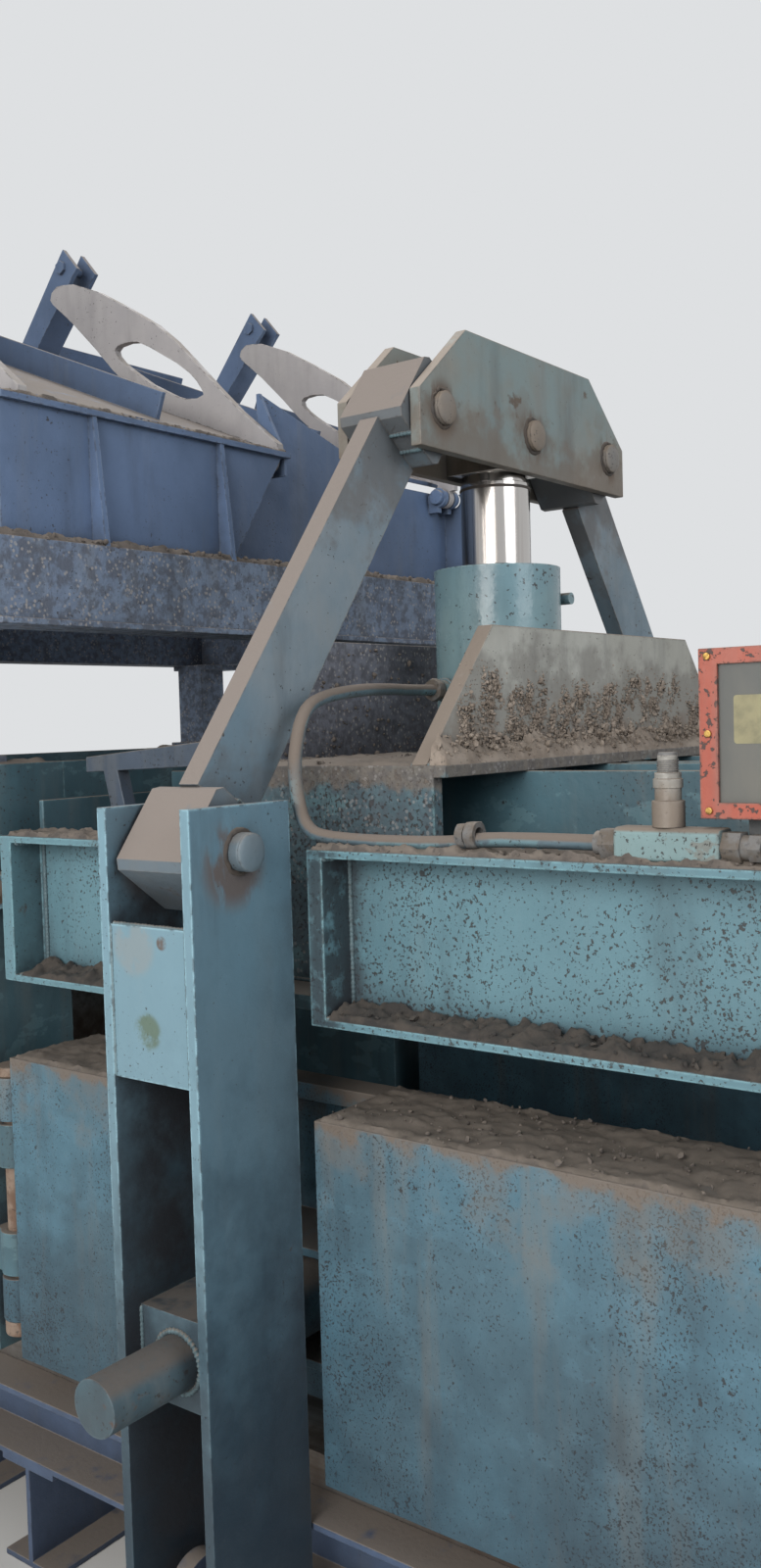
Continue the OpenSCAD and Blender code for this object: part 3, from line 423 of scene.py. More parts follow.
# Painted shade: the two low bands darken walls and levers in deep teal towards the ground.
DEEP_TEAL = (26, 40, 52)
BROWN = (122, 110, 98)
LOW_SHADE = (1.20, 0.20, DEEP_TEAL, 0.75)
LEVER_LOW_SHADE = (1.15, 0.45, DEEP_TEAL, 0.7)
LEDGE_DRIPS = (0.966, 0.987, (110, 96, 84), 0.8)
LEDGE_SMEARS = (0.86, 1.0, (104, 98, 92), 0.5)
LEVER_STAINS = [((-0.988, 0.006, 1.157), ALL_WAYS, 0.032, (88, 104, 84), 0.85),
                ((-0.988, -0.029, 1.290), ALL_WAYS, 0.012, RUST, 0.9),
                ((-0.988, 0.030, 1.280), ALL_WAYS, 0.050, (136, 138, 136), 0.5)]
# Painted shade: dark blots on the end returns of the edge beams.
BEAM_RETURN_SHADE = [((x, y, 0), ALONG_Z, 0.052, (44, 52, 58), 0.85)
               for x in (-0.738, 0.738) for y in (-0.150, 0.150)]


def pin_rust(xs, z, reach):
    return [((x, 0, z), ALONG_Y, reach) for x in xs]


RUST_DRIP = 0.018
drip_x = LEVER_X * (1 + RUST_DRIP)
lever_rust = pin_rust((-drip_x, drip_x), LEVER_PIN_Z - RUST_DRIP, 0.080)
lever_rust += pin_rust((-LEVER_X, LEVER_X), LEVER_FOOT_Z, 0.080)
head_rust = pin_rust((-HEAD_PIN_X, 0, HEAD_PIN_X), HEAD_PIN_Z, 0.064)
print(len(lever_rust) + len(head_rust), "places where pins bleed rust")

# %% Paint for the channel, the levers and the hopper
paint("beam_paint", (98, 134, 145), (88, 122, 133), (138, 184, 194), wear=(1.0, 0.15, 0.75, 0.9),
      number=1, runs=0.15, gloss=0.42, dust_tone=(80, 80, 78), shade_reach=0.15, stains_and_shade=BEAM_RETURN_SHADE)
# On the levers, sides are painted lighter as painted light, and the lower part and the insides darker as
# painted shade.
paint("lever_paint", (94, 124, 140), (84, 110, 124), (158, 198, 212), wear=(0.35, 0.15, 0.6, 1.0),
      number=4, runs=0.1, gloss=0.42, shade_reach=0.34, side_light=0.28, rust_near=lever_rust,
      stains_and_shade=LEVER_STAINS, bands=[LOW_SHADE, LEVER_LOW_SHADE])
paint("wall_paint", (84, 124, 142), (80, 110, 124), (102, 144, 164), wear=(0.95, 0.35, 0.85, 1.0),
      number=6, runs=0.5, dust_tone=(112, 103, 95), chip_size=0.72, scuffs=0.2,
      bands=[LOW_SHADE, LEDGE_SMEARS, LEDGE_DRIPS])
paint("machine_paint", (78, 112, 124), (66, 92, 102), (112, 146, 154), wear=(0.4, 0.3, 0.9, 0.9),
      number=9, runs=0.25, gloss=0.42, scuffs=0.3)
paint("barrel_paint", (122, 148, 152), (104, 134, 144), (140, 166, 170), wear=(0.75, 0.1, 0.8, 0.6),
      number=12, runs=0.1, gloss=0.17, chip_size=2.0)
paint("thrust_paint", (64, 88, 98), (62, 72, 78), (86, 104, 112), wear=(0.9, 1.3, 0.8, 0.7), number=49,
      dust_tone=(96, 88, 82), chip_size=1.5)
# The navy coat is painted darker towards the bottom, as painted shade.
paint("navy_paint", (93, 114, 147), (79, 98, 127), (108, 124, 148), wear=(0.25, 0.2, 0.9, 0.8),
      number=15, runs=0.2, bands=[(1.0, 0.1, (38, 40, 48), 0.5)])
paint("ring_paint", (116, 132, 154), (102, 116, 138), (126, 138, 156), wear=(0.3, 0.1, 1.0, 0.9),
      number=17, gloss=0.6, crust=0.75)
paint("rail_paint", (74, 86, 102), (64, 74, 86), (98, 106, 114), wear=(0.4, 0.3, 0.95, 0.9), number=61,
      gloss=0.55)
print("six coats of teal and three of navy")

# %% Paint under dust for the crosshead, struts, gussets and saddle
paint("head_paint", (114, 130, 131), (130, 125, 116), (146, 140, 130), wear=(0.25, 0.8, 0.95, 0.85),
      number=20, runs=0.5, dust_tone=(150, 139, 129), slope=0.15, rust_near=head_rust,
      bands=[(2.21, 2.09, (102, 89, 78), 0.7)])
# The strut's top band is painted shade: darker brown-grey towards the top.
paint("strut_paint", (120, 132, 140), (100, 122, 136), (132, 126, 118), wear=(0.25, 0.2, 1.0, 0.8),
      number=24, runs=0.35, dust_tone=(130, 121, 115), slope=0.15, chip_size=1.4,
      bands=[(1.90, 2.06, (92, 88, 86), 0.7), (1.58, 1.50, (88, 86, 86), 0.45)])
paint("gusset_paint", (184, 184, 177), (164, 163, 155), (146, 136, 124), wear=(0.3, 0.3, 1.0, 0.75),
      number=28, runs=0.5, gloss=0.6, dust_tone=(128, 117, 107), slope=0.2,
      bands=[(1.76, 1.66, (112, 108, 103), 0.6), (1.62, 1.54, (120, 107, 96), 0.8)])
paint("grimy_plate", (122, 126, 138), (100, 102, 112), (124, 128, 136), wear=(0.3, 0.3, 1.0, 0.7),
      number=29, gloss=0.75, dust_tone=(112, 103, 96), slope=0.2, crust=0.8)
paint("saddle_paint", (90, 120, 130), (72, 90, 98), (112, 154, 160), wear=(1.15, 0.5, 1.0, 0.9),
      number=30, gloss=0.6, dust_tone=(112, 102, 94), chip_size=1.4, scuffs=0.3, crust=0.45,
      bands=[(1.485, 1.505, (112, 102, 93), 0.85)])
paint("arm_paint", (170, 166, 166), (156, 153, 155), (184, 180, 178), wear=(0.1, 0.2, 0.6, 0.6),
      number=31, runs=0.2, gloss=0.6)
print("six dusty coats")

# %% Paint for the pins, the pipe and the control box
paint("pin_paint", (112, 116, 118), (120, 108, 96), (128, 116, 104), wear=(0.8, 0.9, 0.9, 0.6),
      number=47, runs=0.2, gloss=0.55, dust_tone=BROWN, slope=0.2)
paint("lever_pin_paint", (94, 110, 120), (100, 102, 102), (118, 126, 130), wear=(0.7, 0.7, 0.45, 0.6),
      number=55, runs=0.2)
paint("pipe_paint", (92, 118, 130), (84, 98, 106), (112, 150, 158), wear=(0.8, 0.5, 1.0, 0.7),
      number=52, gloss=0.4, dust_tone=(114, 104, 96), slope=-0.15, scuffs=0.5)
paint("tee_paint", (126, 154, 156), (108, 130, 132), (108, 97, 87), wear=(0.8, 0.6, 1.0, 0.8),
      number=38, gloss=0.4, scuffs=0.6)
paint("riser_face", (152, 152, 148), (126, 120, 112), (172, 170, 164), wear=(0.3, 0.4, 0.9, 0.6),
      number=58, runs=0.2, gloss=0.35, dust_tone=BROWN, bands=[(1.508, 1.478, (118, 106, 95), 0.85)])
paint("orange_paint", (168, 84, 66), (150, 76, 62), (140, 96, 84), wear=(0.9, 0.5, 0.5, 0.6), number=35,
      runs=0.25, gloss=0.45, chip_size=1.6)
paint("box_paint", (128, 130, 130), (112, 114, 114), (150, 150, 148), wear=(0.2, 0.2, 0.9, 0.7),
      number=41)
paint("weld_paint", (94, 118, 126), (78, 96, 102), (120, 150, 158), wear=(0.5, 0.5, 0.7, 0.7),
      number=44)
print("eight coats for small pieces")

# %% [markdown]
# Steel comes in three states here. The rods are ground and chromed, so they are a mirror with
# faint bands of oil and rust along their length. Pins are brown and dull. Plates that the
# material rubs against, such as the floor and the ram, are scoured bright between stains.

# %% Chromed rods
def chrome_rod(name, long_axis):
    blank(name)
    stretch = [0.02 if axis == long_axis else 1.0 for axis in range(3)]
    bands = spots(0.016, 3, stretch=stretch, shift=2)
    stain = times(between(bands, 0.5, 0.68), 0.55)
    fine = spots(0.003, 2, stretch=stretch, shift=8)
    two_tone(stain, (192, 188, 184), (128, 110, 98), (0.13, 0.42), fine, 0.00005)
    shader.inputs["Metallic"].default_value = 1.0


chrome_rod("upright_chrome", 2)
chrome_rod("level_chrome", 1)
print("two chromed rods")

# %% Rusty steel
def rusty_steel(name, coat, stain, number, gloss=0.62, dust=0.7):
    blank(name, number)
    cloud = between(spots(0.02, 6), 0.4, 0.6)
    colour = mixed(cloud, coat, stain)
    pits = between(spots(0.004, 4, shift=4), 0.58, 0.68)
    colour = layer(colour, pits, 0.6, CHIP)
    colour = layer(colour, facing_up(), dust, DUST)
    rough = blend(cloud, gloss, 0.9)
    finish(colour, rough, spots(0.005, 5), 0.0008)


rusty_steel("pin_steel", (136, 118, 104), (112, 90, 76), 3)
rusty_steel("nut_steel", (108, 108, 108), (96, 88, 80), 6, gloss=0.5)
rusty_steel("turned_steel", (164, 162, 158), (128, 122, 114), 9, gloss=0.35)
rusty_steel("grease", (58, 52, 48), (74, 66, 60), 17, gloss=0.55)
rusty_steel("dirt", (104, 96, 90), (82, 76, 72), 12, gloss=0.95)
rusty_steel("pale_dirt", (150, 138, 127), (128, 116, 105), 14, gloss=0.95)
rusty_steel("dark_dirt", (72, 66, 61), (48, 46, 45), 15, gloss=0.95, dust=0.1)
print("seven dull finishes")

# %% Scoured steel
blank("worn_steel", 2)
scratch = spots(0.01, 4, stretch=(1, 0.03, 1))
stain = between(spots(0.15, 6, shift=3), 0.45, 0.62)
colour = mixed(between(scratch, 0.35, 0.7), (150, 148, 144), (116, 112, 106))
colour = layer(colour, stain, 0.8, (92, 74, 60))
# Painted shade: the corners are darkened.
colour = layer(colour, shaded_corners(0.08), 0.7, GRIME_AND_SHADE)
shader.inputs["Metallic"].default_value = 0.6
finish(colour, blend(stain, 0.4, 0.8), scratch, 0.0006)
print("scoured steel ready")

# %% [markdown]
# Two small finishes are left: the brass of the screws and the dull pane of the control box.
# The pane is a milky plastic sheet with a grey film, so it hardly shines.

# %% Brass and pane
blank("screw_brass")
tarnish = between(spots(0.004, 4), 0.4, 0.65)
two_tone(tarnish, (206, 168, 96), (120, 92, 56), (0.3, 0.6), spots(0.002, 2), 0.0002)
shader.inputs["Metallic"].default_value = 1.0

blank("pane_plastic")
film = between(spots(0.07, 6, stretch=(1, 1, 0.5), shift=5), 0.35, 0.7)
two_tone(film, (86, 88, 86), (102, 100, 93), (0.3, 0.6), spots(0.02, 3), 0.0003)
shader.inputs["Coat Weight"].default_value = 0.25
print("brass and pane")

# %% [markdown]
# Each ready-made piece gets soft edges, as a grinder leaves them, so that every edge catches
# a line of light. Flat faces arrive as triangles, so they are joined up first; after the
# bevel, big faces decide the shading, which keeps flats flat and round bars round.
# Modifiers leave the piece's own mesh alone, which is why its size stays exact.
# The table after that has a row for each finish: its name, its edges in metres and its pieces.

# %% Soft edges
JOIN = 0.00002
SHARP_ANGLE = math.radians(38)
FLAT_ANGLE = math.radians(0.4)


def smooth_group():
    group = bpy.data.node_groups.new("smooth", "GeometryNodeTree")
    group.interface.new_socket("Geometry", in_out="INPUT", socket_type="NodeSocketGeometry")
    group.interface.new_socket("Geometry", in_out="OUTPUT", socket_type="NodeSocketGeometry")
    start = group.nodes.new("NodeGroupInput")
    smooth = group.nodes.new("GeometryNodeSetShadeSmooth")
    end = group.nodes.new("NodeGroupOutput")
    group.links.new(start.outputs[0], smooth.inputs["Geometry"])
    group.links.new(smooth.outputs[0], end.inputs[0])
    return group


SMOOTH = smooth_group()


def dress(finish_name, edge, names):
    """Gives pieces a finish and edges rounded by that many metres."""
    for name in names:
        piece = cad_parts[name]
        for slot in piece.material_slots:
            slot.material = SHELF[finish_name]
        piece.modifiers.new("join", "WELD").merge_threshold = JOIN
        flats = piece.modifiers.new("flats", "DECIMATE")
        flats.decimate_type = "DISSOLVE"
        flats.angle_limit = FLAT_ANGLE
        soften = piece.modifiers.new("soften", "BEVEL")
        soften.width = edge
        soften.segments = 2
        soften.limit_method = "ANGLE"
        soften.angle_limit = SHARP_ANGLE
        piece.modifiers.new("smooth", "NODES").node_group = SMOOTH
        piece.modifiers.new("shade", "WEIGHTED_NORMAL").weight = 80


print("soft edges ready")

# %% Put the finishes on the pieces
FINISHES = """
beam_paint 0.002 beam_front_left beam_front_right beam_rear_left beam_rear_right
lever_paint 0.003 lever_left lever_right
wall_paint 0.002 side_wall_left side_wall_right
saddle_paint 0.002 saddle
machine_paint 0.002 roof_plate chamber_side_left chamber_side_right chamber_front chamber_rear
machine_paint 0.001 trough_cover main_barrel
pipe_paint 0.001 pressure_pipe
barrel_paint 0.003 tension_barrel
ring_paint 0.002 hopper_ring
navy_paint 0.002 base_frame hopper_hood lid_panel lid_links lid_shaft rear_yoke
rail_paint 0.002 roof_rails
head_paint 0.002 head_plate_front head_plate_rear
strut_paint 0.004 strut_left strut_right
gusset_paint 0.002 gusset_front
grimy_plate 0.002 gusset_rear
arm_paint 0.001 lid_arms
orange_paint 0.0008 control_frame
tee_paint 0.003 tee_block
upright_chrome 0.001 tension_rod
level_chrome 0.001 main_rod
pin_paint 0.005 head_pins
lever_pin_paint 0.005 lever_pins_left lever_pins_right pivot_pins
pin_steel 0.004 wall_pins roof_pins yoke_pin ram_pin
thrust_paint 0.004 thrust_bar_left thrust_bar_right
nut_steel 0.0015 pipe_nuts
riser_face 0.0015 riser
worn_steel 0.002 channel_floor ram ram_shoes guide_rails
turned_steel 0.001 shear_blade ram_knife main_gland tension_gland
screw_brass 0.0008 control_screws
pane_plastic 0.0005 control_window
box_paint 0.001 control_box
"""
for row in FINISHES.split("\n")[1:-1]:
    finish_name, edge, *names = row.split()
    dress(finish_name, float(edge), names)
print(len(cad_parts), "pieces dressed")

# %% [markdown]
# Loose dirt is real geometry here, because a flat picture of crumbs never throws a shadow.
# Everything added is collected in a Heap: a list of corners and faces that grows shape by shape
# and becomes one mesh per body and finish at the end. That keeps the number of pieces small.

# %% A place to collect shapes
SPLIT_ANGLE = math.radians(50)


class Heap:
    def __init__(self, name, body, material, slot):
        self.name, self.body, self.material, self.slot = name, body, material, slot
        self.corners, self.faces = [], []

    def add(self, corners, faces):
        first = len(self.corners)
        self.corners += [tuple(c) for c in corners]
        self.faces += [tuple(first + i for i in face) for face in faces]

    def done(self):
        mesh = bpy.data.meshes.new(self.name)
        mesh.from_pydata(self.corners, [], self.faces)
        mesh.materials.append(SHELF[self.material])
        mesh.shade_smooth()
        piece = put(self.name, mesh)
        piece.modifiers.new("edges", "EDGE_SPLIT").split_angle = SPLIT_ANGLE
        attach(piece, self.body)
        print(self.name, len(self.corners), "corners")


print("edges sharper than", round(math.degrees(SPLIT_ANGLE)), "degrees stay sharp")

# %% [markdown]
# A bank of dust is a grid of heights. Where the noise falls below zero the grid is left out,
# so the bank gets a ragged border and dives into the plate there instead of ending in a wall.
# A bottom sheet just under the surface closes it, so light can't leak in from below.

# %% The heights of a bank of dust
SUNK = 0.0006


def heights(x, y, z, height, cover, step, seed, size=0.05, crest=None):
    """The grid of points of a bank, and how many cells it has each way."""
    across = max(2, round((x[1] - x[0]) / step))
    along = max(2, round((y[1] - y[0]) / step))
    level = {}
    for i in range(across + 1):
        for j in range(along + 1):
            px, py = x[0] + (x[1] - x[0]) * i / across, y[0] + (y[1] - y[0]) * j / along
            big = noise.fractal(Vector((px / size, py / size, seed)), 0.8, 2.0, 4)
            fine = noise.fractal(Vector((px / 0.014, py / 0.014, seed + 5)), 0.9, 2.0, 2)
            value = height * (0.35 + cover + 0.55 * big + 0.30 * fine)
            if crest:
                value *= crest(i / across, j / along)
            if i in (0, across) or j in (0, along):
                value = min(value, 0.0)
            level[i, j] = (px, py, z + (value if value > 0 else -SUNK))
    return level, across, along


print("banks dive", SUNK * 1000, "mm into the plate at their border")

# %% A bank with its border and its bottom
def bank(heap, x, y, z, height, **look):
    """x and y are ranges, height the tallest crest, cover raises or lowers how much is filled."""
    level, across, along = heights(x, y, z, height, **look)
    full = {(i, j) for i in range(across) for j in range(along)
            if any(level[i + a, j + b][2] > z for a in (0, 1) for b in (0, 1))}
    index, corners, faces = {}, [], []

    def corner(i, j, under):
        if (i, j, under) not in index:
            index[i, j, under] = len(corners)
            px, py, pz = level[i, j]
            corners.append((px, py, z - 2 * SUNK if under else pz))
        return index[i, j, under]

    for i, j in sorted(full):
        loop = [(i, j), (i + 1, j), (i + 1, j + 1), (i, j + 1)]
        faces.append([corner(*c, False) for c in loop])
        faces.append([corner(*c, True) for c in reversed(loop)])
        for k, (di, dj) in enumerate(((0, -1), (1, 0), (0, 1), (-1, 0))):
            if (i + di, j + dj) not in full:
                a, b = loop[k], loop[(k + 1) % 4]
                faces.append([corner(*b, False), corner(*a, False), corner(*a, True), corner(*b, True)])
    heap.add(corners, faces)


print("banks ready")

# %% [markdown]
# A crumb is a ball of twenty triangles, stretched and turned at random. Crumbs are sprinkled
# over the banks, and on an upright plate they stick together in clumps that are thick in the
# middle. The dice are seeded once, so every run throws the same crumbs.

# %% Crumbs and clumps
GOLD = (1 + math.sqrt(5)) / 2
CARD = [(b, a * GOLD, 0) for a in (1, -1) for b in (-1, 1)]
STONE = [Vector(c[-k:] + c[:-k]).normalized() for k in range(3) for c in CARD]
STONE_FACES = [(0, 11, 5), (0, 5, 1), (0, 1, 7), (0, 7, 10), (0, 10, 11), (1, 5, 9), (5, 11, 4),
               (11, 10, 2), (10, 7, 6), (7, 1, 8), (3, 9, 4), (3, 4, 2), (3, 2, 6), (3, 6, 8),
               (3, 8, 9), (4, 9, 5), (2, 4, 11), (6, 2, 10), (8, 6, 7), (9, 8, 1)]
FULL_TURN = 2 * math.pi
chance = random.Random(7)


def crumb(heap, place, size):
    stretch = Vector([size * chance.uniform(0.5, 1.2) for _ in range(3)])
    lean = Matrix.Rotation(chance.uniform(0, 6.28), 3, Vector([chance.uniform(-1, 1) for _ in range(3)]))
    shape = [lean @ (c * stretch * chance.uniform(0.75, 1.15)) for c in STONE]
    heap.add([place + c for c in shape], STONE_FACES)


def sprinkle(heap, count, x, y, z, sizes, cling=1.0):
    """Crumbs in a box; with a cling above 1 they gather at the bottom of the box."""
    for _ in range(count):
        height = z[0] + (z[1] - z[0]) * chance.random() ** cling
        size = sizes[0] + (sizes[1] - sizes[0]) * chance.random() ** 3
        crumb(heap, Vector((chance.uniform(*x), chance.uniform(*y), height)), size)


def clump(heap, place, reach, count):
    """Crumbs stuck together on an upright plate that faces -Y: flat, and fading out at its border."""
    smallest, largest = 0.0018, 0.0055
    lean = chance.uniform(-0.5, 0.5)
    for _ in range(count):
        way, far = chance.uniform(0, FULL_TURN), chance.random() ** 0.7
        size = smallest + (largest - smallest) * chance.random() ** 2 * (1.3 - far)
        up = reach * far * math.sin(way) * 1.5
        across = reach * far * math.cos(way) + lean * up
        out = reach * 0.30 * (1 - far) * chance.random()
        crumb(heap, place + Vector((across, -out, up)), size)


print("a crumb has", len(STONE_FACES), "faces")

# %% Dust on the saddle and crust on its gusset
SADDLE_Z = 1.530
SADDLE_HALF = 0.600
GUSSET_FRONT = -0.232
GUSSET_BACK = 0.232
roof_dirt = Heap("roof_dirt", "roof", "dirt", "worn_steel")
roof_dust = Heap("roof_dust", "roof", "pale_dirt", "worn_steel")
gusset_crust = Heap("gusset_crust", "roof", "pale_dirt", "worn_steel")

bank(roof_dust, (-0.597, 0.597), (-0.267, GUSSET_FRONT), SADDLE_Z, 0.042, cover=0.4, step=0.005, seed=1,
     size=0.070, crest=lambda u, v: 0.25 + 0.9 * v)
sprinkle(roof_dust, 1500, (-0.59, 0.59), (-0.264, GUSSET_FRONT), (SADDLE_Z + 0.004, SADDLE_Z + 0.045),
         (0.002, 0.007), 1.8)
sprinkle(roof_dust, 600, (-0.50, 0.50), (GUSSET_FRONT - 0.001, GUSSET_FRONT), (SADDLE_Z, SADDLE_Z + 0.17),
         (0.0010, 0.0032), 1.8)
for _ in range(150):
    x, height = chance.uniform(-0.51, 0.51), 0.015 + 0.120 * chance.random() ** 1.6
    clump(gusset_crust, Vector((x, GUSSET_FRONT, SADDLE_Z + height)), chance.uniform(0.008, 0.026), 52)
gusset_crust.done()

for x, number in (((-0.595, -0.15), 4), ((0.15, 0.595), 5)):
    bank(roof_dirt, x, (-0.200, 0.200), SADDLE_Z, 0.012, cover=0.05, step=0.010, seed=number, size=0.09)
sprinkle(roof_dirt, 420, (-0.59, 0.59), (-0.2, 0.2), (SADDLE_Z, SADDLE_Z + 0.006), (0.002, 0.008))
sprinkle(roof_dirt, 480, (-0.46, 0.46), (0.199, 0.202), (SADDLE_Z, SADDLE_Z + 0.22), (0.0015, 0.006), 1.6)
bank(roof_dirt, (-0.595, 0.595), (GUSSET_BACK, 0.266), SADDLE_Z, 0.015, cover=0.3, step=0.008, seed=6)
print("saddle covered")

# %% [markdown]
# The same bank lies on the edge beams, on their lower flanges, on the ledges of the side walls,
# on the hopper's lip and ring and on top of the chamber. Amounts follow how level and how
# sheltered the place is: a beam's open top has scraps, a lower flange is filled.

# %% Dirt on beams and ledges
BEAM_TOP = 1.409
BEAM_IN = 0.702
BEAM_OUT = 0.769
FLANGE_Z = 1.150
LEDGE_Z = 0.989
beam_dirt = Heap("beam_dirt", "roof", "dark_dirt", "worn_steel")
SIDES = ((-1, "l", "left"), (1, "r", "right"))
for side, end, word in SIDES:
    def span(a, b):
        return (side * a, side * b) if side > 0 else (side * b, side * a)

    def inward(u, v):
        return 0.35 + 0.9 * (1 - u if side > 0 else u)

    for y in ((-1.145, -0.126), (0.126, 0.610)):
        bank(roof_dirt, span(0.690, 0.768), y, BEAM_TOP, 0.015, cover=0.15, step=0.005,
             seed=8 + side + y[0], size=0.04)
    for y, number in (((-1.148, -0.153), 11 + side), ((0.153, 0.584), 13 + side)):
        bank(beam_dirt, span(BEAM_IN, BEAM_OUT), y, FLANGE_Z, 0.025, cover=0.25, step=0.005, seed=number,
             crest=inward)
    sprinkle(beam_dirt, 260, span(0.703, 0.768), (-1.14, -0.16), (FLANGE_Z, FLANGE_Z + 0.014),
             (0.002, 0.008))
    sprinkle(roof_dirt, 420, span(0.690, 0.768), (-1.14, -0.13), (BEAM_TOP, BEAM_TOP + 0.006),
             (0.0015, 0.006))
    wall = Heap("wall_dirt_" + word, "wall_" + end, "dirt", "worn_steel")
    for y in ((-1.095, -0.126), (0.126, 0.620)):
        bank(wall, span(0.555, 0.768), y, LEDGE_Z, 0.011, cover=0.1, step=0.007, seed=16 + side + y[0],
             size=0.07)
    sprinkle(wall, 420, span(0.56, 0.766), (-1.09, -0.13), (LEDGE_Z, LEDGE_Z + 0.010), (0.0015, 0.006))
    wall.done()
beam_dirt.done()

# %% Dirt on the hopper and the chamber
RING_TOP = 1.955
LIP_Z = 2.220
CHAMBER_TOP = 1.540
TROUGH_TOP = 1.190
frame_dirt = Heap("frame_dirt", "frame", "dirt", "worn_steel")
bank(frame_dirt, (-0.825, 0.825), (0.532, 0.568), RING_TOP, 0.016, cover=0.35, step=0.008, seed=21)
sprinkle(frame_dirt, 420, (-0.82, 0.82), (0.530, 0.566), (RING_TOP, RING_TOP + 0.012), (0.002, 0.008))
bank(frame_dirt, (-0.775, 0.012), (0.558, 0.580), LIP_Z, 0.009, cover=0.4, step=0.006, seed=22)
sprinkle(frame_dirt, 150, (-0.77, 0.01), (0.558, 0.578), (LIP_Z, LIP_Z + 0.006), (0.0015, 0.005))
for side in (-1, 1):
    x = (0.575, 0.755) if side > 0 else (-0.755, -0.575)
    narrow = (x[0], x[1] - 0.06) if side > 0 else (x[0] + 0.06, x[1])
    bank(frame_dirt, x, (0.71, 1.635), CHAMBER_TOP, 0.012, cover=0.0, step=0.014, seed=24 + side, size=0.09)
    bank(frame_dirt, narrow, (1.66, 3.0), TROUGH_TOP, 0.010, cover=0.0, step=0.014, seed=26 + side,
         size=0.09)
frame_dirt.done()
roof_dirt.done()
roof_dust.done()

# %% [markdown]
# A weld seam is a chain of small frozen puddles. It is swept here as a round bead whose radius
# swells and shrinks along the way, with a little noise so that no two puddles are alike.

# %% A bead of weld
RIPPLE = 0.0075


def bead_path(points, ripple):
    path = []
    for a, b in zip(points, points[1:]):
        count = max(1, round((b - a).length / (ripple / 3)))
        path += [a.lerp(b, k / count) for k in range(count)]
    return path + [points[-1]]


def bead(heap, points, radius=0.005, sides=7, ripple=RIPPLE):
    path = bead_path([Vector(p) for p in points], ripple)
    last = len(path) - 1
    corners, faces = [], []
    for i, place in enumerate(path):
        ahead = (path[min(i + 1, last)] - path[max(i - 1, 0)]).normalized()
        up = ahead.cross(Vector((0.31, 0.52, 0.79))).normalized()
        out = ahead.cross(up)
        wave = 0.86 + 0.16 * math.cos(i * FULL_TURN / 3) + 0.16 * noise.noise(place * 90)
        if i in (0, last):
            wave *= 0.4
        for k in range(sides):
            turn = FULL_TURN * k / sides
            corners.append(place + (up * math.cos(turn) + out * math.sin(turn)) * radius * wave)
    for i in range(last):
        for k in range(sides):
            m = (k + 1) % sides
            faces.append((i * sides + k, i * sides + m, (i + 1) * sides + m, (i + 1) * sides + k))
    faces.append(tuple(reversed(range(sides))))
    faces.append(tuple(last * sides + k for k in range(sides)))
    heap.add(corners, faces)


print("a puddle of weld is", RIPPLE * 1000, "mm long")

# %% A hoop
def hoop(centre, radius, axis, parts=40):
    """Corners of a circle round centre, in the plane across axis ("x", "y" or "z")."""
    loop = []
    for k in range(parts + 1):
        a, b = radius * math.cos(FULL_TURN * k / parts), radius * math.sin(FULL_TURN * k / parts)
        offset = {"x": (0, a, b), "y": (a, 0, b), "z": (a, b, 0)}[axis]
        loop.append(Vector(centre) + Vector(offset))
    return loop


print("hoops ready")

# %% Seams on the roof
BARREL_FOOT = 0.130
roof_welds = Heap("roof_welds", "roof", "weld_paint", "paint_light_teal")
for side in (-1, 1):
    for y in (-0.153, 0.153, 0.584):
        bead(roof_welds, [(side * BEAM_OUT, y, FLANGE_Z), (side * BEAM_IN, y, FLANGE_Z),
                          (side * BEAM_IN, y, 1.395), (side * BEAM_OUT, y, 1.395)])
    bead(roof_welds, [(side * SADDLE_HALF, -0.244, 1.164), (side * SADDLE_HALF, 0.244, 1.164)])
for y in (GUSSET_FRONT, -0.202, 0.202, GUSSET_BACK):
    bead(roof_welds, [(-0.596, y, SADDLE_Z), (0.596, y, SADDLE_Z)], 0.006)
bead(roof_welds, hoop((0, 0, SADDLE_Z), BARREL_FOOT, "z"), 0.007)
bead(roof_welds, hoop((-0.128, 0.050, 1.660), 0.021, "x", 24), 0.004)
roof_welds.done()

# %% Seams on the levers
WEB_FACE = 0.988
BLOCK_FACE = 0.956
THRUST_Z = 0.652
for side, end, word in SIDES:
    seams = Heap("lever_welds_" + word, "lever_" + end, "weld_paint", "paint_teal")
    for y in (-0.078, 0.078):
        bead(seams, [(side * WEB_FACE, y, 1.084), (side * WEB_FACE, y, 1.310)], 0.003)
        bead(seams, [(side * BLOCK_FACE, y, 0.584), (side * BLOCK_FACE, y, 0.720)])
    bead(seams, [(side * 0.984, -0.076, 1.312), (side * 0.984, 0.076, 1.312)], 0.004)
    bead(seams, hoop((side * BLOCK_FACE, 0, THRUST_Z), 0.046, "x"), 0.006)
    seams.done()

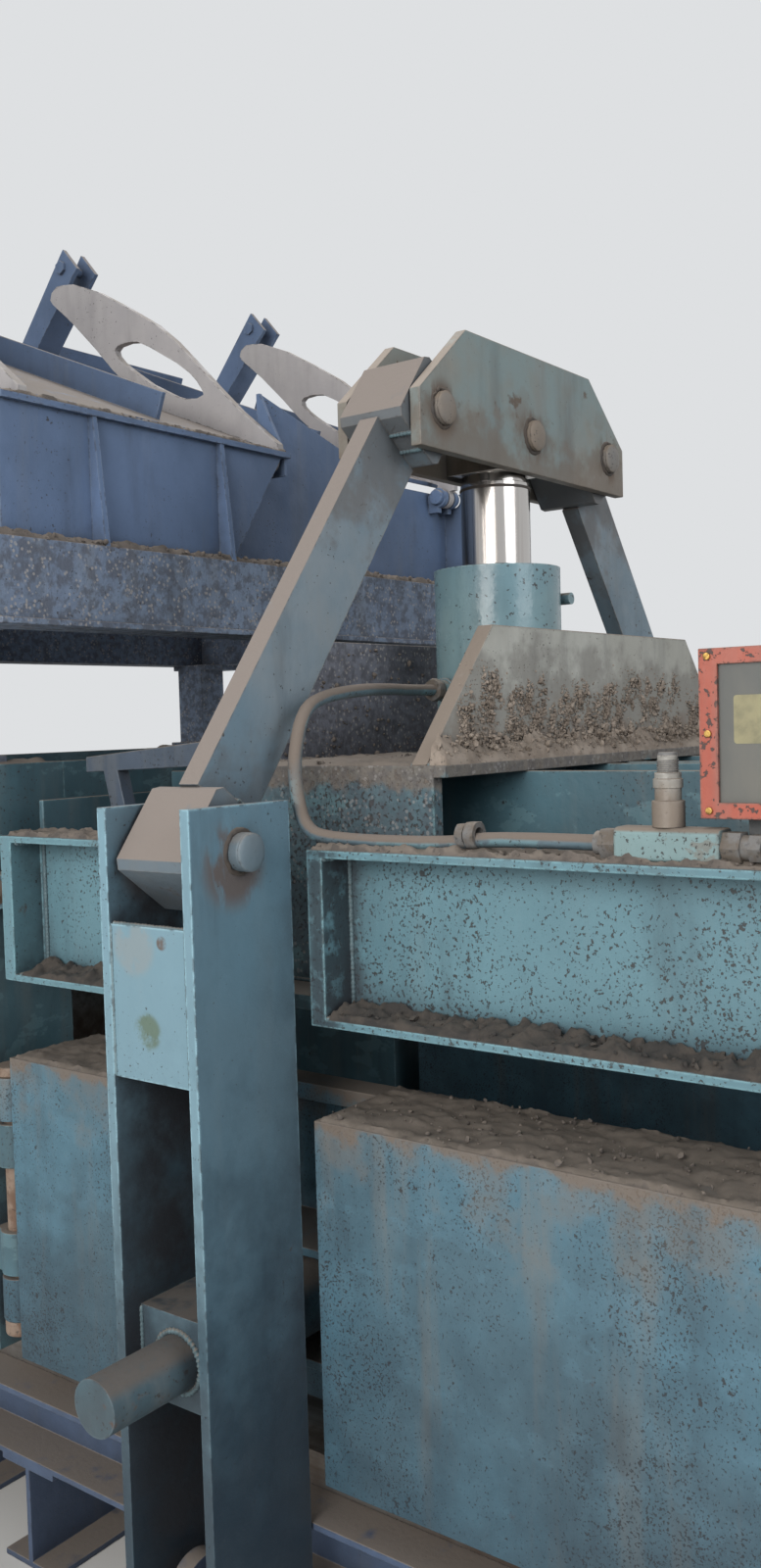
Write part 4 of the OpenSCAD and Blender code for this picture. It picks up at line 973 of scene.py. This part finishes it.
# %% Seams on the struts
STRUT_FOOT = Vector((-LEVER_X, 0, LEVER_PIN_Z))
STRUT_TOP = Vector((-HEAD_PIN_X, 0, HEAD_PIN_Z))
BLOCK_END = 0.0755
STRUT_HALF_DEEP = 0.020
STRUT_HALF_WIDE = 0.066
for side, end, word in SIDES:
    seams = Heap("strut_welds_" + word, "strut_" + end, "weld_paint", "paint_grey_teal")
    ahead = (STRUT_TOP - STRUT_FOOT).normalized()
    out = Vector((-ahead.z, 0, ahead.x))
    for start, sign in ((STRUT_FOOT, 1), (STRUT_TOP, -1)):
        middle = start + ahead * BLOCK_END * sign
        loop = [middle + out * a * STRUT_HALF_DEEP + Vector((0, b * STRUT_HALF_WIDE, 0))
                for a, b in ((-1, -1), (1, -1), (1, 1), (-1, 1), (-1, -1))]
        bead(seams, [Vector((-side * p.x, p.y, p.z)) for p in loop], 0.005)
    seams.done()

# %% Seams on the chamber and the trough
RIB_FOOT_X = 0.570
frame_welds = Heap("frame_welds", "frame", "weld_paint", "paint_dark")
for ys, top in (((0.745, 1.055, 1.355, 1.640), 1.515), ((2.027, 2.493, 2.96), 1.17)):
    for y in ys:
        for side in (-1, 1):
            bead(frame_welds, [(side * RIB_FOOT_X, y, 0.42), (side * RIB_FOOT_X, y, top)], 0.005)
frame_welds.done()

# %% [markdown]
# Turned parts come from one lathe: a profile of radius and height, spun round an axis. Pin heads
# are hammered domes with a ragged collar of old grease round them.

# %% The lathe
AXES = {"x": (Vector((0, 1, 0)), Vector((0, 0, 1)), Vector((1, 0, 0))),
        "y": (Vector((0, 0, 1)), Vector((1, 0, 0)), Vector((0, 1, 0))),
        "z": (Vector((1, 0, 0)), Vector((0, 1, 0)), Vector((0, 0, 1)))}


def lathe(heap, place, axis, profile, sides=40, sign=1, rough=0.0):
    """profile is a list of (radius, height); a radius of 0 closes an end to a point."""
    a, b, along = AXES[axis]
    place = Vector(place)
    corners, rows = [], []
    for radius, height in profile:
        if radius == 0:
            rows.append([len(corners)])
            corners.append(place + along * height * sign)
            continue
        row = []
        for k in range(sides):
            turn = FULL_TURN * k / sides
            way = a * math.cos(turn) + b * math.sin(turn)
            bump = rough * noise.noise((place + way * radius) * 120 + along * height * 60)
            row.append(len(corners))
            corners.append(place + way * (radius + bump) + along * (height * sign + bump * 0.5))
        rows.append(row)
    faces = []
    for low, high in zip(rows, rows[1:]):
        for k in range(sides):
            m = (k + 1) % sides
            if len(low) == 1:
                faces.append((low[0], high[k], high[m]))
            elif len(high) == 1:
                faces.append((low[k], high[0], low[m]))
            else:
                faces.append((low[k], high[k], high[m], low[m]))
    heap.add(corners, [f if sign > 0 else tuple(reversed(f)) for f in faces])


print("the lathe turns round", ", ".join(AXES))

# %% Pin heads and their grease
HEAD_PIN = 0.030
LEVER_PIN = 0.029
HEAD_PIN_END = 0.1025
LEVER_PIN_END = 0.118
HEAD_PLATE = 0.0925
LEVER_PLATE = 0.096


def dome(radius, height):
    steps = [(radius, -0.001), (radius, 0.0006)]
    steps += [(radius * math.cos(t), height * math.sin(t)) for t in (0.35, 0.75, 1.15)]
    return [(0, -0.001)] + steps + [(0, height)]


def collar(radius):
    return [(radius, -0.0005), (radius + 0.0075, -0.0005), (radius + 0.006, 0.0022),
            (radius + 0.0025, 0.0034), (radius, 0.0022), (radius, -0.0005)]


pin_heads = {
    "crosshead": [(x, s * HEAD_PIN_END, HEAD_PIN_Z)
                  for x in (-HEAD_PIN_X, 0.0, HEAD_PIN_X) for s in (-1, 1)],
    "lever_l": [(-LEVER_X, s * LEVER_PIN_END, LEVER_PIN_Z) for s in (-1, 1)],
    "lever_r": [(LEVER_X, s * LEVER_PIN_END, LEVER_PIN_Z) for s in (-1, 1)],
    "frame": [(x, s * LEVER_PIN_END, LEVER_FOOT_Z) for x in (-LEVER_X, LEVER_X) for s in (-1, 1)],
}
for body, heads in pin_heads.items():
    on_crosshead = body == "crosshead"
    caps = Heap("pin_heads_" + body, body, "pin_paint" if on_crosshead else "lever_pin_paint", "rusty_pin")
    collars = Heap("pin_grease_" + body, body, "grease", "rusty_pin")
    plate = HEAD_PLATE if on_crosshead else LEVER_PLATE
    radius = HEAD_PIN if on_crosshead else LEVER_PIN
    for x, y, z in heads:
        sign = 1 if y > 0 else -1
        lathe(caps, (x, y, z), "y", dome(radius - 0.0005, 0.006), sign=sign, rough=0.0012)
        lathe(collars, (x, sign * plate, z), "y", collar(radius), sign=sign, rough=0.004)
    caps.done()
    collars.done()

# %% [markdown]
# The pipe ends in nuts with their corners turned off, and the riser carries a thread. A nut is
# a stack of rings whose radius follows a hexagon, and a thread is a thin bead on a helix.

# %% Hex nuts and threads
NUT_SIDES = 24


def hex_nut(heap, place, axis, across, height, hole):
    a, b, along = AXES[axis]
    place = Vector(place)
    flat = across / 2
    turns = [FULL_TURN * k / NUT_SIDES for k in range(NUT_SIDES)]
    rows = []
    for reach, level in ((0.90, 0.0), (1.0, 0.10), (1.0, 0.90), (0.90, 1.0)):
        row = []
        for turn in turns:
            corner = flat / math.cos((turn + math.pi / 6) % (math.pi / 3) - math.pi / 6)
            radius = min(corner, flat * 1.155 * reach) if reach < 1 else corner
            row.append(place + (a * math.cos(turn) + b * math.sin(turn)) * radius + along * height * level)
        rows.append(row)
    rows.append([place + (a * math.cos(t) + b * math.sin(t)) * hole + along * height for t in turns])
    rows.insert(0, [c - along * height for c in rows[-1]])
    faces = []
    for i in range(len(rows)):
        j = (i + 1) % len(rows)
        for k in range(NUT_SIDES):
            m = (k + 1) % NUT_SIDES
            faces.append((i * NUT_SIDES + k, i * NUT_SIDES + m, j * NUT_SIDES + m, j * NUT_SIDES + k))
    heap.add([c for row in rows for c in row], faces)


def thread(heap, place, radius, height):
    pitch = 0.0025
    parts = round(height / pitch * 20)
    turns = [FULL_TURN * k / 20 for k in range(parts + 1)]
    loop = [Vector(place) + Vector((radius * math.cos(turn), radius * math.sin(turn), height * k / parts))
            for k, turn in enumerate(turns)]
    bead(heap, loop, 0.0009, 5, ripple=0.02)


print("a nut has", NUT_SIDES, "corners round")

# %% Fittings of the pipe
PIPE_X = -0.740
PIPE_BORE = 0.0109
RISER_Y = -0.706
fittings = Heap("pipe_fittings", "roof", "nut_steel", "rusty_pin")
hex_nut(fittings, (PIPE_X, -0.418, 1.4375), "y", 0.036, 0.016, PIPE_BORE)
hex_nut(fittings, (PIPE_X, -0.399, 1.4365), "y", 0.032, 0.013, PIPE_BORE)
hex_nut(fittings, (-0.170, 0.050, 1.660), "x", 0.040, 0.018, PIPE_BORE)
thread(fittings, (PIPE_X, RISER_Y, 1.502), 0.0135, 0.040)
riser_cap = [(0, -0.002), (0.0125, -0.002), (0.0125, 0.001), (0.011, 0.003), (0, 0.003)]
lathe(fittings, (PIPE_X, RISER_Y, 1.5485), "z", riser_cap, 24)
for y in (-1.022, -0.822):
    for x in (-0.683, -0.674):
        hex_nut(fittings, (x, y, BEAM_TOP + 0.001), "z", 0.007, 0.004, 0.001)
fittings.done()

# %% The scraper of the rod and the lip of the barrel
scraper = Heap("rod_scraper", "crosshead", "grease", "rusty_pin")
scraper_ring = [(0.0698, 0), (0.0712, 0.0004), (0.0720, 0.003),
                (0.0712, 0.0056), (0.0698, 0.006), (0.0698, 0)]
lathe(scraper, (0, 0, 2.058), "z", scraper_ring, 64, rough=0.0006)
scraper.done()
lip = Heap("barrel_lip", "roof", "grease", "rusty_pin")
lip_ring = [(0.0703, -0.002), (0.078, -0.002), (0.077, 0.003),
            (0.073, 0.005), (0.0703, 0.004), (0.0703, -0.002)]
lathe(lip, (0, 0, 1.903), "z", lip_ring, 64, rough=0.0015)
lip.done()

# %% [markdown]
# The control box keeps a bare pale plate behind its pane. The pane is drawn as an opaque milky
# sheet, so the plate lies a hair in front of it with the same film over its colour.

# %% The bare plate of the control box
blank("bare_plate")
film = between(spots(0.012, 6), 0.35, 0.7)
two_tone(film, (142, 136, 104), (122, 118, 94), (0.45, 0.7), film, 0.0001)


def thin_card(heap, x, y, z, thickness):
    """A card standing in Y and Z with round corners."""
    corner = 0.004
    loop = []
    for cy, cz, start in ((y[1] - corner, z[1] - corner, 0), (y[0] + corner, z[1] - corner, 90),
                          (y[0] + corner, z[0] + corner, 180), (y[1] - corner, z[0] + corner, 270)):
        for k in range(5):
            turn = math.radians(start + 22.5 * k)
            loop.append((cy + corner * math.cos(turn), cz + corner * math.sin(turn)))
    count = len(loop)
    corners = [(x, a, b) for a, b in loop] + [(x - thickness, a, b) for a, b in loop]
    faces = [tuple(range(count)), tuple(reversed(range(count, 2 * count)))]
    faces += [(k, count + k, count + (k + 1) % count, (k + 1) % count) for k in range(count)]
    heap.add(corners, faces)


bare_plate = Heap("bare_plate", "roof", "bare_plate", "window_grey")
thin_card(bare_plate, -0.7398, (-0.905, -0.795), (1.561, 1.621), 0.0008)
bare_plate.done()

# %% [markdown]
# The floor and the light are plain. The floor is pale and wide, the world is a soft grey that
# only the camera sees as nearly white, and three big lamps stand left, in front and above.
# The lamp on the left is the strongest, because daylight falls on the machine from there.

# %% Floor
HALF = 14.0
mesh = bpy.data.meshes.new("floor")
mesh.from_pydata([(-HALF, -HALF, 0), (HALF, -HALF, 0), (HALF, HALF, 0), (-HALF, HALF, 0)], [],
                 [(0, 1, 2, 3)])
blank("pale_floor")
shader.inputs["Base Color"].default_value = tone(214, 212, 208)
shader.inputs["Roughness"].default_value = 0.9
mesh.materials.append(SHELF["pale_floor"])
floor = put("floor", mesh)
floor.location.z = -0.0005
print("floor:", round(floor.dimensions.x), "m wide")

# %% World
world = bpy.data.worlds.new("studio")
bpy.context.scene.world = world
world.use_nodes = True
tree = world.node_tree
tree.nodes.clear()
path = make("LightPath")
looked_at = math_node("MAXIMUM", path.outputs["Is Camera Ray"], path.outputs["Is Glossy Ray"])
looked_at = math_node("MAXIMUM", looked_at, path.outputs["Is Transmission Ray"])
light = make("Background", {"Color": (0.92, 0.96, 1.0, 1), "Strength": 0.42})
backdrop = make("Background", {"Color": tone(222, 224, 226), "Strength": 1.0})
both = make("MixShader", {0: looked_at, 1: light.outputs[0], 2: backdrop.outputs[0]})
make("OutputWorld", {"Surface": both.outputs[0]})
print("world:", world.name)

# %% Lamps
def lamp(name, place, target, size, watts, colour):
    data = bpy.data.lights.new(name, "AREA")
    data.shape = "DISK"
    data.size = size
    data.energy = watts
    data.color = colour
    light = put(name, data)
    light.location = place
    light.rotation_euler = (Vector(target) - Vector(place)).to_track_quat("-Z", "Y").to_euler()


lamp("daylight", (-6.5, -1.0, 3.4), (0, 0, 1.2), 4.5, 340, (1.0, 0.98, 0.95))
lamp("fill", (-1.0, -6.0, 3.5), (0, 0, 1.4), 4.0, 130, (0.96, 0.98, 1.0))
lamp("top", (1.5, 2.0, 7.0), (0, 0.5, 1.0), 4.0, 210, (1.0, 0.99, 0.97))

# %% Standard colours
bpy.context.scene.view_settings.view_transform = "Standard"
print("view transform:", bpy.context.scene.view_settings.view_transform)
